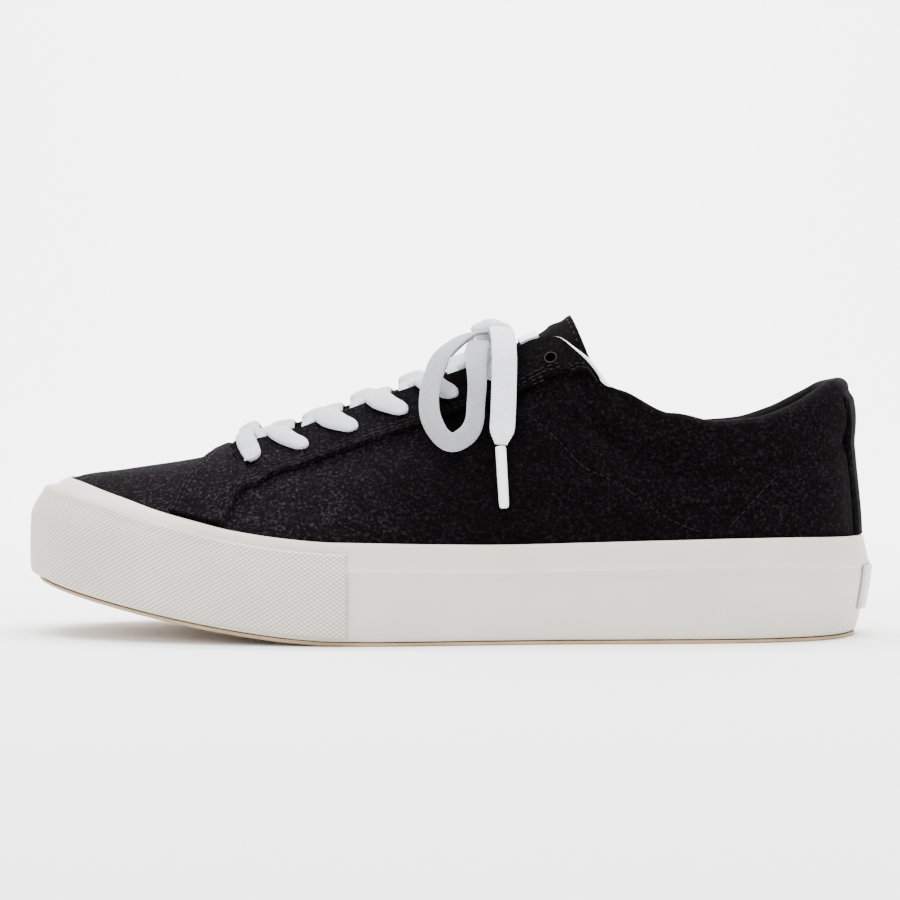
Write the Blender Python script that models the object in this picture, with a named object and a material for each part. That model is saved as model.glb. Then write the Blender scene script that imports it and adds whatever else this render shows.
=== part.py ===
"""Low skateboarding shoe for the left foot, empty and standing on its sole.

The toe points along -X, the outer side of the foot is at -Y, and the floor is z = 0.
Everything is in metres. A place round the shoe is a turn: 0 at the toe, pi at the heel,
negative along the outer side and positive along the inner side.
"""
import math

import bmesh
import bpy
import numpy as np

# Driving dimensions of the shoe
LENGTH = 0.296
BALL_WIDTH = 0.1052
SOLE_HEIGHT = 0.0350
TOE_SPRING = 0.0187
SPRING_START = 0.37
TOE_HEIGHT = 0.0574
INSTEP_HEIGHT = 0.1026
COLLAR_HEIGHT = 0.0894

# Walls and layers
FOXING_WALL = 0.0030
FOXING_LIP = 0.0009
FOXING_STEP = 0.0004
BUMPER_WALL = 0.0013
PATCH_WALL = 0.0010
UPPER_WALL = 0.0022
COLLAR_PAD = 0.0080
PAD_PROUD = 0.0012
OVERLAY_WALL = 0.0011
OVERLAY_FOOT = 0.0018
TONGUE_WALL = 0.0050
LABEL_WALL = 0.0008
INSOLE_WALL = 0.0032
GAP = 0.0003
SEAT_GAP = 0.0006
OVERLAY_GAP = 0.0011
SOFT_GAP = 0.0007
TONGUE_GAP = 0.0015

# Sole details
EDGE_THICKNESS = 0.0012
EDGE_INSET = 0.0005
ARCH_HOLLOW = 0.0015
ARCH_RIM = 0.0100
BUMPER_END = 0.384
BUMPER_TOP = 0.885
PATCH_TURN = 0.24
PATCH_LOW = 0.24
PATCH_HIGH = 0.695
BACKSTAY_TURN = 0.24

# Throat, eyelets and lace
THROAT_FRONT = 0.270
THROAT_SLOPE = math.radians(20)
THROAT_UP = np.array((-math.sin(THROAT_SLOPE), 0.0, math.cos(THROAT_SLOPE)))
RIDGE_SLOPE = 0.17
TONGUE_RISE = 0.025
TONGUE_FLANK = 0.013
TONGUE_TUCK = 0.014
TONGUE_DIP = 0.0034
TONGUE_NARROW = 0.20
TONGUE_EDGE = 0.62
EYELET_COUNT = 7
EYELET_FIRST = 0.262
EYELET_LAST = 0.6105
EYELET_EDGE = 0.0100
LACE_WIDTH = 0.0085
LACE_THICKNESS = 0.0015
LACE_GAP = 0.0005
OVER_TONGUE = 0.9
OVER_RIM = 1.1
OVER_CORNER = 1.2
AGLET_WIDTH = 0.0036
LABEL_REACH = 0.40
LABEL_SHARES = (0.631, 0.646, 0.661)
LABEL_GAP = 0.0006

# Stations round the shoe and rows up its ribs
VAMP_STEPS = 8
THROAT_STEPS = 25
FRONT_STEPS = (0.005, 0.010, 0.016, 0.024, 0.036)
RIB_ROWS = (0.0, 0.14, 0.29, 0.44, 0.57, 0.67, 0.76, 0.84, 0.92, 1.0)
TONGUE_STEPS = (0.40, 0.485, 0.575, 0.697, 0.728)
TONGUE_ROWS = (0.0, 0.2, 0.42, 0.62, 0.75, 0.88, 1.0)
BACKSTAY_ROWS = (0.0, 0.2, 0.4, 0.55, 0.67, 0.76, 0.86, 0.97)
LINING_ROWS = (1.0, 0.90, 0.76, 0.62, 0.42, 0.20)

# Sole: share of the length, width and centre as shares of the ball width,
# height of the side and of the foot bed as shares of the sole height.
SOLE_TABLE = (
    ("share", "width", "centre", "side", "bed"),
    (0.000, 0.000, 0.085, 1.035, 0.40),
    (0.010, 0.270, 0.084, 1.043, 0.40),
    (0.050, 0.559, 0.077, 1.066, 0.39),
    (0.100, 0.730, 0.067, 1.058, 0.39),
    (0.150, 0.835, 0.052, 1.030, 0.39),
    (0.200, 0.906, 0.038, 1.012, 0.39),
    (0.250, 0.958, 0.024, 0.990, 0.39),
    (0.300, 0.987, 0.010, 0.985, 0.39),
    (0.350, 0.998, 0.000, 0.982, 0.39),
    (0.400, 1.000, -0.008, 0.978, 0.41),
    (0.450, 0.970, -0.014, 0.968, 0.44),
    (0.500, 0.917, -0.021, 0.960, 0.48),
    (0.550, 0.865, -0.027, 0.954, 0.51),
    (0.600, 0.827, -0.029, 0.958, 0.54),
    (0.650, 0.803, -0.028, 0.968, 0.56),
    (0.750, 0.794, -0.019, 0.988, 0.58),
    (0.850, 0.779, -0.009, 1.006, 0.58),
    (0.900, 0.732, -0.005, 1.010, 0.58),
    (0.950, 0.600, -0.002, 1.004, 0.58),
    (0.990, 0.278, 0.000, 0.998, 0.58),
    (1.000, 0.000, 0.000, 0.996, 0.58),
)

# Side of the sole: share of its height, then how far it lies in from the outline at the toe,
# along the side and at the heel, as shares of the sole height.
SIDE_TABLE = (
    ("height", "toe", "side", "heel"),
    (0.00, 0.035, 0.022, 0.125),
    (0.10, 0.005, 0.008, 0.095),
    (0.25, 0.000, 0.006, 0.062),
    (0.62, 0.010, 0.004, 0.006),
    (0.70, 0.042, 0.000, 0.000),
    (0.80, 0.104, 0.017, 0.016),
    (0.89, 0.178, 0.034, 0.032),
    (1.00, 0.350, 0.056, 0.056),
)
RIDGE_ROW = 4

# Upper: share of the sole's length where a rib starts, share of the shoe's length where it ends,
# its top's centre and half width as shares of the ball width, its crest as shares of the toe,
# instep and collar heights, the leans from upright in degrees, the pulls of the curve as shares
# of its chord, and the share of the collar's padding.
RIB_TABLE = (
    ("share", "top", "centre", "half", "toe", "instep", "collar", "tilt",
     "low_lean", "top_lean", "low_pull", "top_pull", "pad"),
    (0.000, 0.118, 0.072, 0.000, 1.000, 0.000, 0.000, 0.000, 62, 90, 0.25, 0.45, 0.00),
    (0.060, 0.128, 0.070, 0.000, 1.008, 0.000, 0.000, 0.000, 56, 90, 0.26, 0.46, 0.00),
    (0.120, 0.152, 0.062, 0.000, 1.026, 0.000, 0.000, 0.000, 50, 90, 0.27, 0.47, 0.00),
    (0.190, 0.190, 0.050, 0.000, 1.056, 0.000, 0.000, 0.000, 43, 90, 0.28, 0.48, 0.00),
    (0.250, 0.225, 0.038, 0.000, 1.096, 0.000, 0.000, 0.000, 38, 88, 0.30, 0.46, 0.00),
    (0.270, 0.240, 0.034, 0.000, 1.125, 0.000, 0.000, 0.000, 36, 84, 0.30, 0.44, 0.00),
    (0.282, 0.249, 0.032, 0.080, 0.575, 0.318, 0.000, 0.012, 34, 70, 0.30, 0.38, 0.00),
    (0.300, 0.262, 0.030, 0.104, 0.000, 0.640, 0.000, 0.021, 30, 62, 0.30, 0.36, 0.00),
    (0.360, 0.315, 0.024, 0.120, 0.000, 0.690, 0.000, 0.021, 21, 54, 0.31, 0.34, 0.00),
    (0.440, 0.395, 0.016, 0.134, 0.000, 0.774, 0.000, 0.014, 13, 50, 0.33, 0.32, 0.00),
    (0.530, 0.485, 0.008, 0.148, 0.000, 0.861, 0.000, 0.007, 8, 48, 0.35, 0.31, 0.00),
    (0.620, 0.575, 0.002, 0.164, 0.000, 0.952, 0.000, 0.000, 5, 46, 0.36, 0.30, 0.00),
    (0.650, 0.600, 0.001, 0.172, 0.000, 0.991, 0.000, 0.000, 5, 44, 0.36, 0.30, 0.00),
    (0.680, 0.622, 0.000, 0.182, 0.000, 1.000, 0.000, 0.000, 4, 42, 0.36, 0.30, 0.00),
    (0.710, 0.644, -0.002, 0.204, 0.000, 0.963, 0.000, 0.000, 3, 36, 0.36, 0.30, 0.02),
    (0.740, 0.672, -0.004, 0.246, 0.000, 0.879, 0.000, 0.000, 3, 25, 0.36, 0.30, 0.10),
    (0.770, 0.704, -0.006, 0.282, 0.000, 0.410, 0.472, 0.000, 2, 14, 0.35, 0.30, 0.35),
    (0.810, 0.752, -0.008, 0.314, 0.000, 0.000, 0.866, 0.000, 2, 4, 0.34, 0.30, 0.80),
    (0.850, 0.802, -0.008, 0.326, 0.000, 0.000, 0.834, 0.000, 2, 0, 0.33, 0.30, 1.00),
    (0.890, 0.851, -0.006, 0.312, 0.000, 0.000, 0.843, 0.000, 2, -2, 0.33, 0.30, 1.00),
    (0.930, 0.898, -0.004, 0.268, 0.000, 0.000, 0.886, 0.000, 1, -3, 0.33, 0.30, 1.00),
    (0.965, 0.936, -0.002, 0.202, 0.000, 0.000, 0.946, 0.000, 1, -3, 0.33, 0.30, 1.00),
    (0.985, 0.958, 0.000, 0.135, 0.000, 0.000, 0.984, 0.000, 1, -3, 0.33, 0.30, 1.00),
    (1.000, 0.974, 0.000, 0.000, 0.000, 0.000, 1.000, 0.000, 1, -2, 0.33, 0.30, 1.00),
)

# Tongue: share of the sole's length of the rib it lies under, and its crown above the
# throat's edges as a share of the tongue's rise.
TONGUE_TABLE = (
    ("share", "crown"),
    (0.288, 0.02),
    (0.310, 0.09),
    (0.360, 0.14),
    (0.440, 0.17),
    (0.530, 0.20),
    (0.620, 0.24),
    (0.650, 0.21),
    (0.680, 0.30),
    (0.712, 0.56),
    (0.742, 1.00),
)

# Depth of the padded collar below its crest, as shares of the collar height.
CREASE_TABLE = (
    ("share", "depth"),
    (0.640, 0.12),
    (0.700, 0.26),
    (0.770, 0.25),
    (0.850, 0.20),
    (0.930, 0.22),
    (1.000, 0.23),
)

# Eyestay: share of a rib's height, and the shares of the sole's length where the
# piece starts and ends at that height.
EYESTAY_TABLE = (
    ("height", "front", "rear"),
    (0.00, 0.166, 0.238),
    (0.15, 0.170, 0.244),
    (0.28, 0.173, 0.254),
    (0.42, 0.180, 0.276),
    (0.55, 0.190, 0.302),
    (0.66, 0.203, 0.360),
    (0.70, 0.209, 0.440),
    (0.73, 0.212, 0.560),
    (0.76, 0.216, 0.640),
    (0.82, 0.224, 0.705),
    (0.90, 0.238, 0.722),
    (1.00, 0.247, 0.742),
)

# Lacing: stations of a length of lace, counted in eyelets, and where it lies across the shoe:
# 1 at the throat's edge and 2 at the eyelet, negative on the side that it comes from.
CROSSING_TABLE = (
    ("across", "station", "lift", "half"),
    (-0.80, 0.28, 0.00, 0.19),
    (-0.42, 0.33, 0.00, 0.22),
    (0.00, 0.41, 0.55, 0.25),
    (0.42, 0.50, 0.10, 0.25),
    (0.74, 0.58, 0.90, 0.25),
    (1.00, 0.65, 0.40, 0.25),
    (1.14, 0.69, 0.35, 0.25),
    (1.45, 0.80, 0.10, 0.24),
    (1.75, 0.91, 0.00, 0.20),
    (2.00, 1.00, 0.00, 0.13),
)
BAR_TABLE = (
    ("across", "station", "lift", "half"),
    (-2.00, 1.06, 0.20, 0.09),
    (-1.70, 1.06, 0.40, 0.10),
    (-1.40, 1.05, 1.10, 0.11),
    (-1.14, 1.04, 2.00, 0.11),
    (-1.00, 1.04, 2.30, 0.11),
    (-0.76, 1.02, 2.80, 0.11),
    (-0.40, 1.00, 1.30, 0.12),
    (0.00, 0.99, 0.80, 0.12),
    (0.40, 1.00, 1.30, 0.12),
    (0.76, 1.02, 2.80, 0.11),
    (1.00, 1.04, 2.30, 0.11),
    (1.14, 1.04, 2.00, 0.11),
    (1.40, 1.05, 1.10, 0.11),
    (1.70, 1.06, 0.40, 0.10),
    (2.00, 1.06, 0.20, 0.09),
)
TOP_BAR_TABLE = (
    ("across", "station", "lift", "half"),
    (-0.74, 0.16, 0.00, 0.18),
    (-0.38, 0.13, 0.00, 0.20),
    (0.00, 0.11, 0.00, 0.20),
    (0.38, 0.13, 0.00, 0.20),
    (0.74, 0.16, 0.00, 0.18),
)

# Bow: places in millimetres, as chosen on the photograph, with the way that the band faces
# and its width as a share of the lace's.
LOOP_TABLE = (
    ("x", "y", "z", "face_x", "face_y", "face_z", "wide"),
    (11.7, -9.0, 104.9, -0.30, -0.30, 0.90, 0.6),
    (5.0, -16.5, 103.2, -0.55, -0.45, 0.70, 1.0),
    (-0.5, -22.0, 99.0, -0.62, -0.62, 0.48, 1.0),
    (-4.6, -26.2, 92.0, -0.60, -0.76, 0.24, 1.0),
    (-6.7, -29.8, 84.0, -0.58, -0.80, 0.05, 1.0),
    (-6.4, -33.4, 76.5, -0.52, -0.84, -0.15, 1.0),
    (-3.2, -37.4, 69.8, -0.30, -0.88, -0.38, 1.0),
    (1.4, -39.4, 67.2, 0.00, -0.90, -0.45, 1.0),
    (5.9, -38.8, 69.4, 0.38, -0.84, -0.38, 1.0),
    (8.7, -36.2, 75.5, 0.62, -0.76, -0.18, 1.0),
    (9.5, -34.2, 83.2, 0.70, -0.71, 0.05, 1.0),
    (9.2, -32.0, 90.6, 0.62, -0.74, 0.26, 1.0),
    (9.4, -26.0, 97.2, 0.36, -0.66, 0.66, 1.0),
    (10.6, -17.6, 101.4, 0.10, -0.40, 0.90, 0.8),
)
END_TABLE = (
    ("x", "y", "z", "face_x", "face_y", "face_z", "wide"),
    (17.0, -9.5, 106.4, 0.10, -0.25, 0.96, 0.7),
    (18.2, -17.5, 105.4, 0.10, -0.50, 0.86, 1.0),
    (18.7, -24.2, 101.0, 0.05, -0.78, 0.62, 1.0),
    (18.8, -28.8, 93.8, 0.00, -0.90, 0.42, 1.0),
    (18.6, -31.6, 86.2, 0.00, -0.92, 0.36, 1.0),
    (18.3, -34.4, 78.6, 0.00, -0.92, 0.36, 1.0),
    (17.9, -36.8, 72.0, 0.00, -0.92, 0.34, 1.0),
    (17.4, -38.6, 66.6, 0.00, -0.95, 0.30, 0.5),
)
KNOT_PLACE = (0.0148, 0.0, 0.1058)
KNOT_HALVES = (0.0066, 0.0092, 0.0046)
AGLET_ENDS = ((17.3, -38.9, 65.8), (18.4, -44.0, 45.5))
FAR_SPREAD = 1.03


def angle_of(share):
    """Turn of a share of the length, evenly spread round both ends."""
    return math.acos(max(-1.0, min(1.0, 1 - 2 * share)))


def share_at(turn):
    """Share of the length at a turn."""
    return (1 - math.cos(turn)) / 2


def smooth(value):
    """Soft step from 0 to 1."""
    value = max(0.0, min(1.0, value))
    return value * value * (3 - 2 * value)


def monotone_curve(places, values):
    """Smooth curve through points that never overshoots them."""
    steps = np.diff(places)
    rises = np.diff(values) / steps
    slopes = np.zeros(len(places))
    slopes[0] = rises[0]
    slopes[-1] = rises[-1]
    for index in range(1, len(places) - 1):
        before, after = rises[index - 1], rises[index]
        if before * after > 0:
            weight_a = 2 * steps[index] + steps[index - 1]
            weight_b = steps[index] + 2 * steps[index - 1]
            slopes[index] = (weight_a + weight_b) / (weight_a / before + weight_b / after)

    def value_at(place):
        place = max(places[0], min(places[-1], place))
        index = min(len(places) - 2, int(np.searchsorted(places, place, side="right")) - 1)
        step = steps[index]
        t = (place - places[index]) / step
        return (values[index] * (1 + 2 * t) * (1 - t) ** 2
                + slopes[index] * step * t * (1 - t) ** 2
                + values[index + 1] * t * t * (3 - 2 * t)
                + slopes[index + 1] * step * t * t * (t - 1))

    return value_at


def columns(table, place_of=lambda value: value):
    """Each named column of a table as a smooth curve over its first column."""
    names, rows = table[0], table[1:]
    places = np.array([place_of(row[0]) for row in rows])
    return {
        name: monotone_curve(places, np.array([row[index] for row in rows], dtype=float))
        for index, name in enumerate(names) if index > 0
    }


SOLE = columns(SOLE_TABLE, angle_of)
SIDE = columns(SIDE_TABLE)
RIB = columns(RIB_TABLE, angle_of)
TONGUE = columns(TONGUE_TABLE)
CREASE = columns(CREASE_TABLE)
EYESTAY = columns(EYESTAY_TABLE)

TOE_X = -LENGTH / 2 + BUMPER_WALL + GAP
HEEL_X = LENGTH / 2 - PATCH_WALL - GAP
SOLE_LENGTH = HEEL_X - TOE_X


def sole_point(turn, shift):
    """Point of the sole's outline in plan."""
    share = share_at(turn)
    reach = abs(turn) if abs(turn) <= math.pi else 2 * math.pi - abs(turn)
    half = SOLE["width"](reach) * BALL_WIDTH / 2
    side = 1 if math.sin(turn) >= 0 else -1
    middle = SOLE["centre"](reach) * BALL_WIDTH + shift
    return np.array((TOE_X + share * SOLE_LENGTH, middle + side * half))


def centring_shift():
    """Sideways shift that centres the shoe between its widest points."""
    turns = np.linspace(-math.pi, math.pi, 721)
    across = [sole_point(turn, 0.0)[1] for turn in turns]
    return -(max(across) + min(across)) / 2


SHIFT = centring_shift()


def outline(turn, inset):
    """Point of the outline, moved in along its normal."""
    step = 1e-3
    along = sole_point(turn + step, SHIFT) - sole_point(turn - step, SHIFT)
    along /= np.linalg.norm(along)
    inward = np.array((along[1], -along[0]))
    return sole_point(turn, SHIFT) + inset * inward, inward


def floor_line(share):
    """Height of the tread over the floor."""
    return TOE_SPRING * max(0.0, 1 - share / SPRING_START) ** 1.5


def side_profile(turn, heights):
    """Inset and height of the foxing's face, for shares of its height."""
    share = share_at(turn)
    reach = angle_of(share)
    low = floor_line(share) + EDGE_THICKNESS + GAP
    tall = floor_line(share) + SOLE["side"](reach) * SOLE_HEIGHT - low
    toe = smooth(1 - share / 0.32)
    heel = smooth((share - 0.78) / 0.20)
    points = []
    for height in heights:
        inset = (SIDE["toe"](height) * toe + SIDE["heel"](height) * heel
                 + SIDE["side"](height) * (1 - toe - heel)) * SOLE_HEIGHT
        points.append((inset, low + height * tall))
    return points


def moved_profile(points, distances):
    """A profile moved square to itself, inwards for a positive distance."""
    moved = []
    for index, point in enumerate(points):
        before = points[max(0, index - 1)]
        after = points[min(len(points) - 1, index + 1)]
        run, rise = after[0] - before[0], after[1] - before[1]
        size = math.hypot(run, rise)
        moved.append((point[0] + distances[index] * rise / size,
                      point[1] - distances[index] * run / size))
    return moved


def placed(turn, profile):
    """Points in space for a profile of insets and heights at a turn."""
    points = []
    for inset, height in profile:
        plan, _ = outline(turn, inset)
        points.append(np.array((plan[0], plan[1], height)))
    return points


def foxing_walls(heights):
    """Thickness of the foxing at shares of its height."""
    return [FOXING_WALL + (FOXING_LIP - FOXING_WALL) * smooth((height - 0.55) / 0.45)
            for height in heights]


def bed_height(share):
    """Top of the sole inside the foxing."""
    return floor_line(share) + SOLE["bed"](angle_of(share)) * SOLE_HEIGHT


def leg_profile(turn, depth):
    """Part of the upper that is held inside the foxing, from the foot bed to the lip."""
    heights = (0.0, 0.25, 0.50, 0.70, 0.86, 1.0)
    walls = [wall + SEAT_GAP + depth for wall in foxing_walls(heights)]
    inner = moved_profile(side_profile(turn, heights), walls)
    low = bed_height(share_at(turn)) + GAP
    insets = [point[0] for point in inner]
    levels = [point[1] for point in inner]
    bottom = (float(np.interp(low, levels, insets)), low)
    middle = (low + levels[3]) / 2
    return [bottom, (float(np.interp(middle, levels, insets)), middle), inner[3], inner[4], inner[5]]


def unit(vector):
    """Vector of length 1."""
    return vector / np.linalg.norm(vector)


def side_of(turn):
    """-1 on the outer side of the shoe and +1 on its inner side."""
    return 1.0 if math.sin(turn) >= 0 else -1.0


def rim_height(turn):
    """Height of the rounded edge over a rib's outer top."""
    pad = RIB["pad"](angle_of(share_at(turn)))
    return 0.42 * (UPPER_WALL + (COLLAR_PAD - UPPER_WALL) * pad)


def rib_top(turn):
    """Outer top of a rib: the ridge of the vamp, the throat's edge or the collar's."""
    reach = angle_of(share_at(turn))
    crest = (RIB["toe"](reach) * TOE_HEIGHT + RIB["instep"](reach) * INSTEP_HEIGHT
             + RIB["collar"](reach) * COLLAR_HEIGHT)
    crest += side_of(turn) * RIB["tilt"](reach) * TOE_HEIGHT
    drop = rim_height(turn) * math.cos(math.radians(RIB["top_lean"](reach)))
    middle = RIB["centre"](reach) * BALL_WIDTH + SHIFT
    half = RIB["half"](reach) * BALL_WIDTH
    return np.array((-LENGTH / 2 + RIB["top"](reach) * LENGTH,
                     middle + side_of(turn) * half, crest - drop))


def top_directions(turn):
    """Along the top line, level across it towards the inside, and up square to both."""
    step = 0.012
    reach = abs(turn)
    ahead = rib_top(math.copysign(min(math.pi, reach + step), turn))
    behind = rib_top(math.copysign(max(1e-4, reach - step), turn))
    along = unit(ahead - behind)
    across = np.array((-along[1], along[0], 0.0))
    if across[1] * side_of(turn) > 0:
        across = -across
    if reach > math.pi - 1e-3:
        across = np.array((-1.0, 0.0, 0.0))
        along = np.array((0.0, 1.0, 0.0))
    across = unit(across)
    upward = np.cross(along, across)
    return along, across, unit(upward if upward[2] > 0 else -upward)


def rib_curve(turn):
    """Four control points of the rib from the foxing's lip to its top."""
    reach = angle_of(share_at(turn))
    foot = placed(turn, [leg_profile(turn, 0.0)[-1]])[0]
    _, inward = outline(turn, 0.0)
    top = rib_top(turn)
    chord = np.linalg.norm(top - foot)
    low_lean = math.radians(RIB["low_lean"](reach))
    top_lean = math.radians(RIB["top_lean"](reach))
    low = np.array((inward[0] * math.sin(low_lean), inward[1] * math.sin(low_lean),
                    math.cos(low_lean)))
    _, across, upward = top_directions(turn)
    to_collar = smooth((share_at(turn) - 0.64) / 0.12)
    across = unit(across * to_collar + np.array((0.0, -side_of(turn), 0.0)) * (1 - to_collar))
    upward = unit(upward * to_collar + THROAT_UP * (1 - to_collar))
    reaching = unit(np.array((top[0] - foot[0], top[1] - foot[1], 0.0)))
    reaching = unit(reaching + np.array((0.0, 0.0, RIDGE_SLOPE * reaching[0])))
    to_throat = smooth((share_at(turn) - 0.20) / 0.10)
    level = unit(across * to_throat + reaching * (1 - to_throat))
    high = unit(level * math.sin(top_lean) + upward * math.cos(top_lean))
    return (foot, foot + low * chord * RIB["low_pull"](reach),
            top - high * chord * RIB["top_pull"](reach), top)


def on_rib(curve, height):
    """Point of a rib's curve at a share of its height."""
    rest = 1 - height
    return (curve[0] * rest ** 3 + 3 * curve[1] * rest ** 2 * height
            + 3 * curve[2] * rest * height ** 2 + curve[3] * height ** 3)


def bare_surface(turn, height):
    """Upper's face without the collar's padding."""
    return on_rib(rib_curve(turn), height)


def surface_normal(turn, height):
    """Outward normal of the upper."""
    reach = abs(turn)
    if height > 0.999 and reach <= angle_of(THROAT_FRONT) + 1e-6:
        return unit(np.array((-RIDGE_SLOPE, 0.0, 1.0)))
    step = 2e-3
    low, high = max(0.0, height - 0.01), min(1.0, height + 0.01)
    across = bare_surface(turn + step, height) - bare_surface(turn - step, height)
    if reach > math.pi - 1e-3:
        across = np.array((0.0, -1.0, 0.0))
    rise = bare_surface(turn, high) - bare_surface(turn, low)
    return unit(np.cross(rise, across))


def padding(turn, height):
    """How far the padded collar stands proud of the upper."""
    share = share_at(turn)
    chord = np.linalg.norm(bare_surface(turn, 1.0) - bare_surface(turn, 0.0))
    depth = (1 - height) * chord / (CREASE["depth"](share) * COLLAR_HEIGHT)
    weight = smooth((share - 0.68) / 0.10)
    if depth >= 1 or depth <= 0:
        return 0.0
    return PAD_PROUD * weight * math.sin(math.pi * depth) ** 0.8


def upper_point(turn, height, depth=0.0):
    """Point of the upper at a depth under its face, or over it for a negative depth."""
    normal = surface_normal(turn, height)
    return bare_surface(turn, height) + normal * (padding(turn, height) - depth)


def upper_wall(turn, height):
    """Thickness of the upper, with the padding of its collar."""
    pad = RIB["pad"](angle_of(share_at(turn)))
    return UPPER_WALL + (COLLAR_PAD - UPPER_WALL) * pad * smooth((height - 0.40) / 0.48)


def finish(solid, colour, roughness):
    """A plain material of its own for each piece."""
    material = bpy.data.materials.new(solid.name + "_finish")
    material.use_nodes = True
    shader = material.node_tree.nodes["Principled BSDF"]
    shader.inputs["Base Color"].default_value = (*colour, 1.0)
    shader.inputs["Roughness"].default_value = roughness
    shader.inputs["Metallic"].default_value = 0.0
    solid.data.materials.append(material)
    return solid


def solid_from(name, points, faces):
    """An object from points and faces, welded, facing out and shaded smooth."""
    mesh = bpy.data.meshes.new(name)
    shape = bmesh.new()
    corners = [shape.verts.new(tuple(float(value) for value in point)) for point in points]
    for face in faces:
        shape.faces.new([corners[index] for index in face])
    bmesh.ops.remove_doubles(shape, verts=shape.verts, dist=1e-6)
    bmesh.ops.recalc_face_normals(shape, faces=shape.faces)
    shape.to_mesh(mesh)
    shape.free()
    mesh.shade_smooth()
    mesh.set_sharp_from_angle(angle=math.radians(40))
    solid = bpy.data.objects.new(name, mesh)
    bpy.context.collection.objects.link(solid)
    return solid


def split(corners):
    """Two triangles for four corners, with the same diagonal on every layer of a slab."""
    return [corners[:3], (corners[0], corners[2], corners[3])]


def grid_faces(count, rows, start, closed):
    """Faces over a grid of points."""
    faces = []
    for column in range(count if closed else count - 1):
        after = (column + 1) % count
        for row in range(rows - 1):
            corners = (start + column * rows + row, start + after * rows + row,
                       start + after * rows + row + 1, start + column * rows + row + 1)
            faces += split(corners)
    return faces


def slab(name, outer, inner, closed=False):
    """A solid between two grids of points with the same columns and rows."""
    count, rows = len(outer), len(outer[0])
    points = [point for column in outer for point in column]
    points += [point for column in inner for point in column]
    base = count * rows
    faces = grid_faces(count, rows, 0, closed) + grid_faces(count, rows, base, closed)
    for column in range(count if closed else count - 1):
        after = (column + 1) % count
        for row in (0, rows - 1):
            faces.append((column * rows + row, after * rows + row,
                          base + after * rows + row, base + column * rows + row))
    if not closed:
        for column in (0, count - 1):
            for row in range(rows - 1):
                faces.append((column * rows + row, column * rows + row + 1,
                              base + column * rows + row + 1, base + column * rows + row))
    return solid_from(name, points, faces)


def turns_round(per_side):
    """Turns all the way round the sole, toe first along the inner side."""
    return [2 * math.pi * index / (2 * per_side) - math.pi for index in range(2 * per_side)]


def ringed(name, rings):
    """A solid of stacked rings, closed by strips across its first and last ring."""
    count = len(rings[0])
    points = [point for ring in rings for point in ring]
    faces = []
    for level in range(len(rings) - 1):
        for index in range(count):
            after = (index + 1) % count
            faces.append((level * count + index, level * count + after,
                          (level + 1) * count + after, (level + 1) * count + index))
    for level in (0, len(rings) - 1):
        base = level * count
        for index in range(count // 2):
            left, right = base + index, base + (count - index) % count
            left_after, right_after = base + index + 1, base + (count - index - 1) % count
            corners = []
            for corner in (left, left_after, right_after, right):
                if corner not in corners:
                    corners.append(corner)
            faces.append(tuple(corners))
    return solid_from(name, points, faces)


def ring(turns, inset_of, height_of):
    """A ring of points round the sole."""
    points = []
    for turn in turns:
        plan, _ = outline(turn, inset_of(turn))
        points.append((plan[0], plan[1], height_of(share_at(turn))))
    return points


def make_outsole():
    """Rubber core and tread plate, with the plate's edge under the foxing."""
    turns = turns_round(32)

    def bottom_inset(turn):
        return side_profile(turn, (0.0,))[0][0]

    def core_inset(turn):
        return moved_profile(side_profile(turn, (0.0, 0.25)), (FOXING_WALL, FOXING_WALL))[0][0] + GAP

    def core_top_inset(turn):
        return leg_profile(turn, 0.0)[0][0]

    def hollow(share):
        return floor_line(share) + ARCH_HOLLOW * smooth(1 - abs(share - 0.56) / 0.13)

    def edge_inset(turn):
        return bottom_inset(turn) + EDGE_INSET

    rings = [
        ring(turns, lambda turn: edge_inset(turn) + ARCH_RIM, hollow),
        ring(turns, lambda turn: edge_inset(turn) + ARCH_RIM - ARCH_HOLLOW, floor_line),
        ring(turns, lambda turn: edge_inset(turn) + EDGE_INSET, floor_line),
        ring(turns, edge_inset, lambda share: floor_line(share) + EDGE_INSET),
        ring(turns, edge_inset, lambda share: floor_line(share) + EDGE_THICKNESS),
        ring(turns, core_inset, lambda share: floor_line(share) + EDGE_THICKNESS),
        ring(turns, core_top_inset, bed_height),
    ]
    return finish(ringed("outsole", rings), (0.62, 0.56, 0.47), 0.6)


def make_foxing():
    """Rubber band round the sole, with a ridge below its top and a thin lip on the upper."""
    heights = [row[0] for row in SIDE_TABLE[1:]]
    ridge = heights[RIDGE_ROW]
    stepped = heights[:RIDGE_ROW] + [ridge - 0.012] + heights[RIDGE_ROW:]
    outer, inner = [], []
    for turn in turns_round(34):
        side = side_profile(turn, stepped)
        face = [(inset + (FOXING_STEP if height < ridge - 0.001 else 0.0), level)
                for height, (inset, level) in zip(stepped, side)]
        outer.append(placed(turn, face))
        inner.append(placed(turn, moved_profile(side, foxing_walls(stepped))))
    return finish(slab("foxing", outer, inner, closed=True), (0.66, 0.63, 0.58), 0.5)


def make_toe_bumper():
    """Second layer of rubber round the toe."""
    heights = (0.05, 0.30, 0.55, 0.70, 0.80, BUMPER_TOP)
    end = angle_of(BUMPER_END)
    outer, inner = [], []
    for turn in np.linspace(-end, end, 27):
        side = side_profile(turn, heights)
        inner.append(placed(turn, moved_profile(side, [-GAP] * len(heights))))
        outer.append(placed(turn, moved_profile(side, [-GAP - BUMPER_WALL] * len(heights))))
    return finish(slab("toe_bumper", outer, inner), (0.68, 0.65, 0.61), 0.6)


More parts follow.
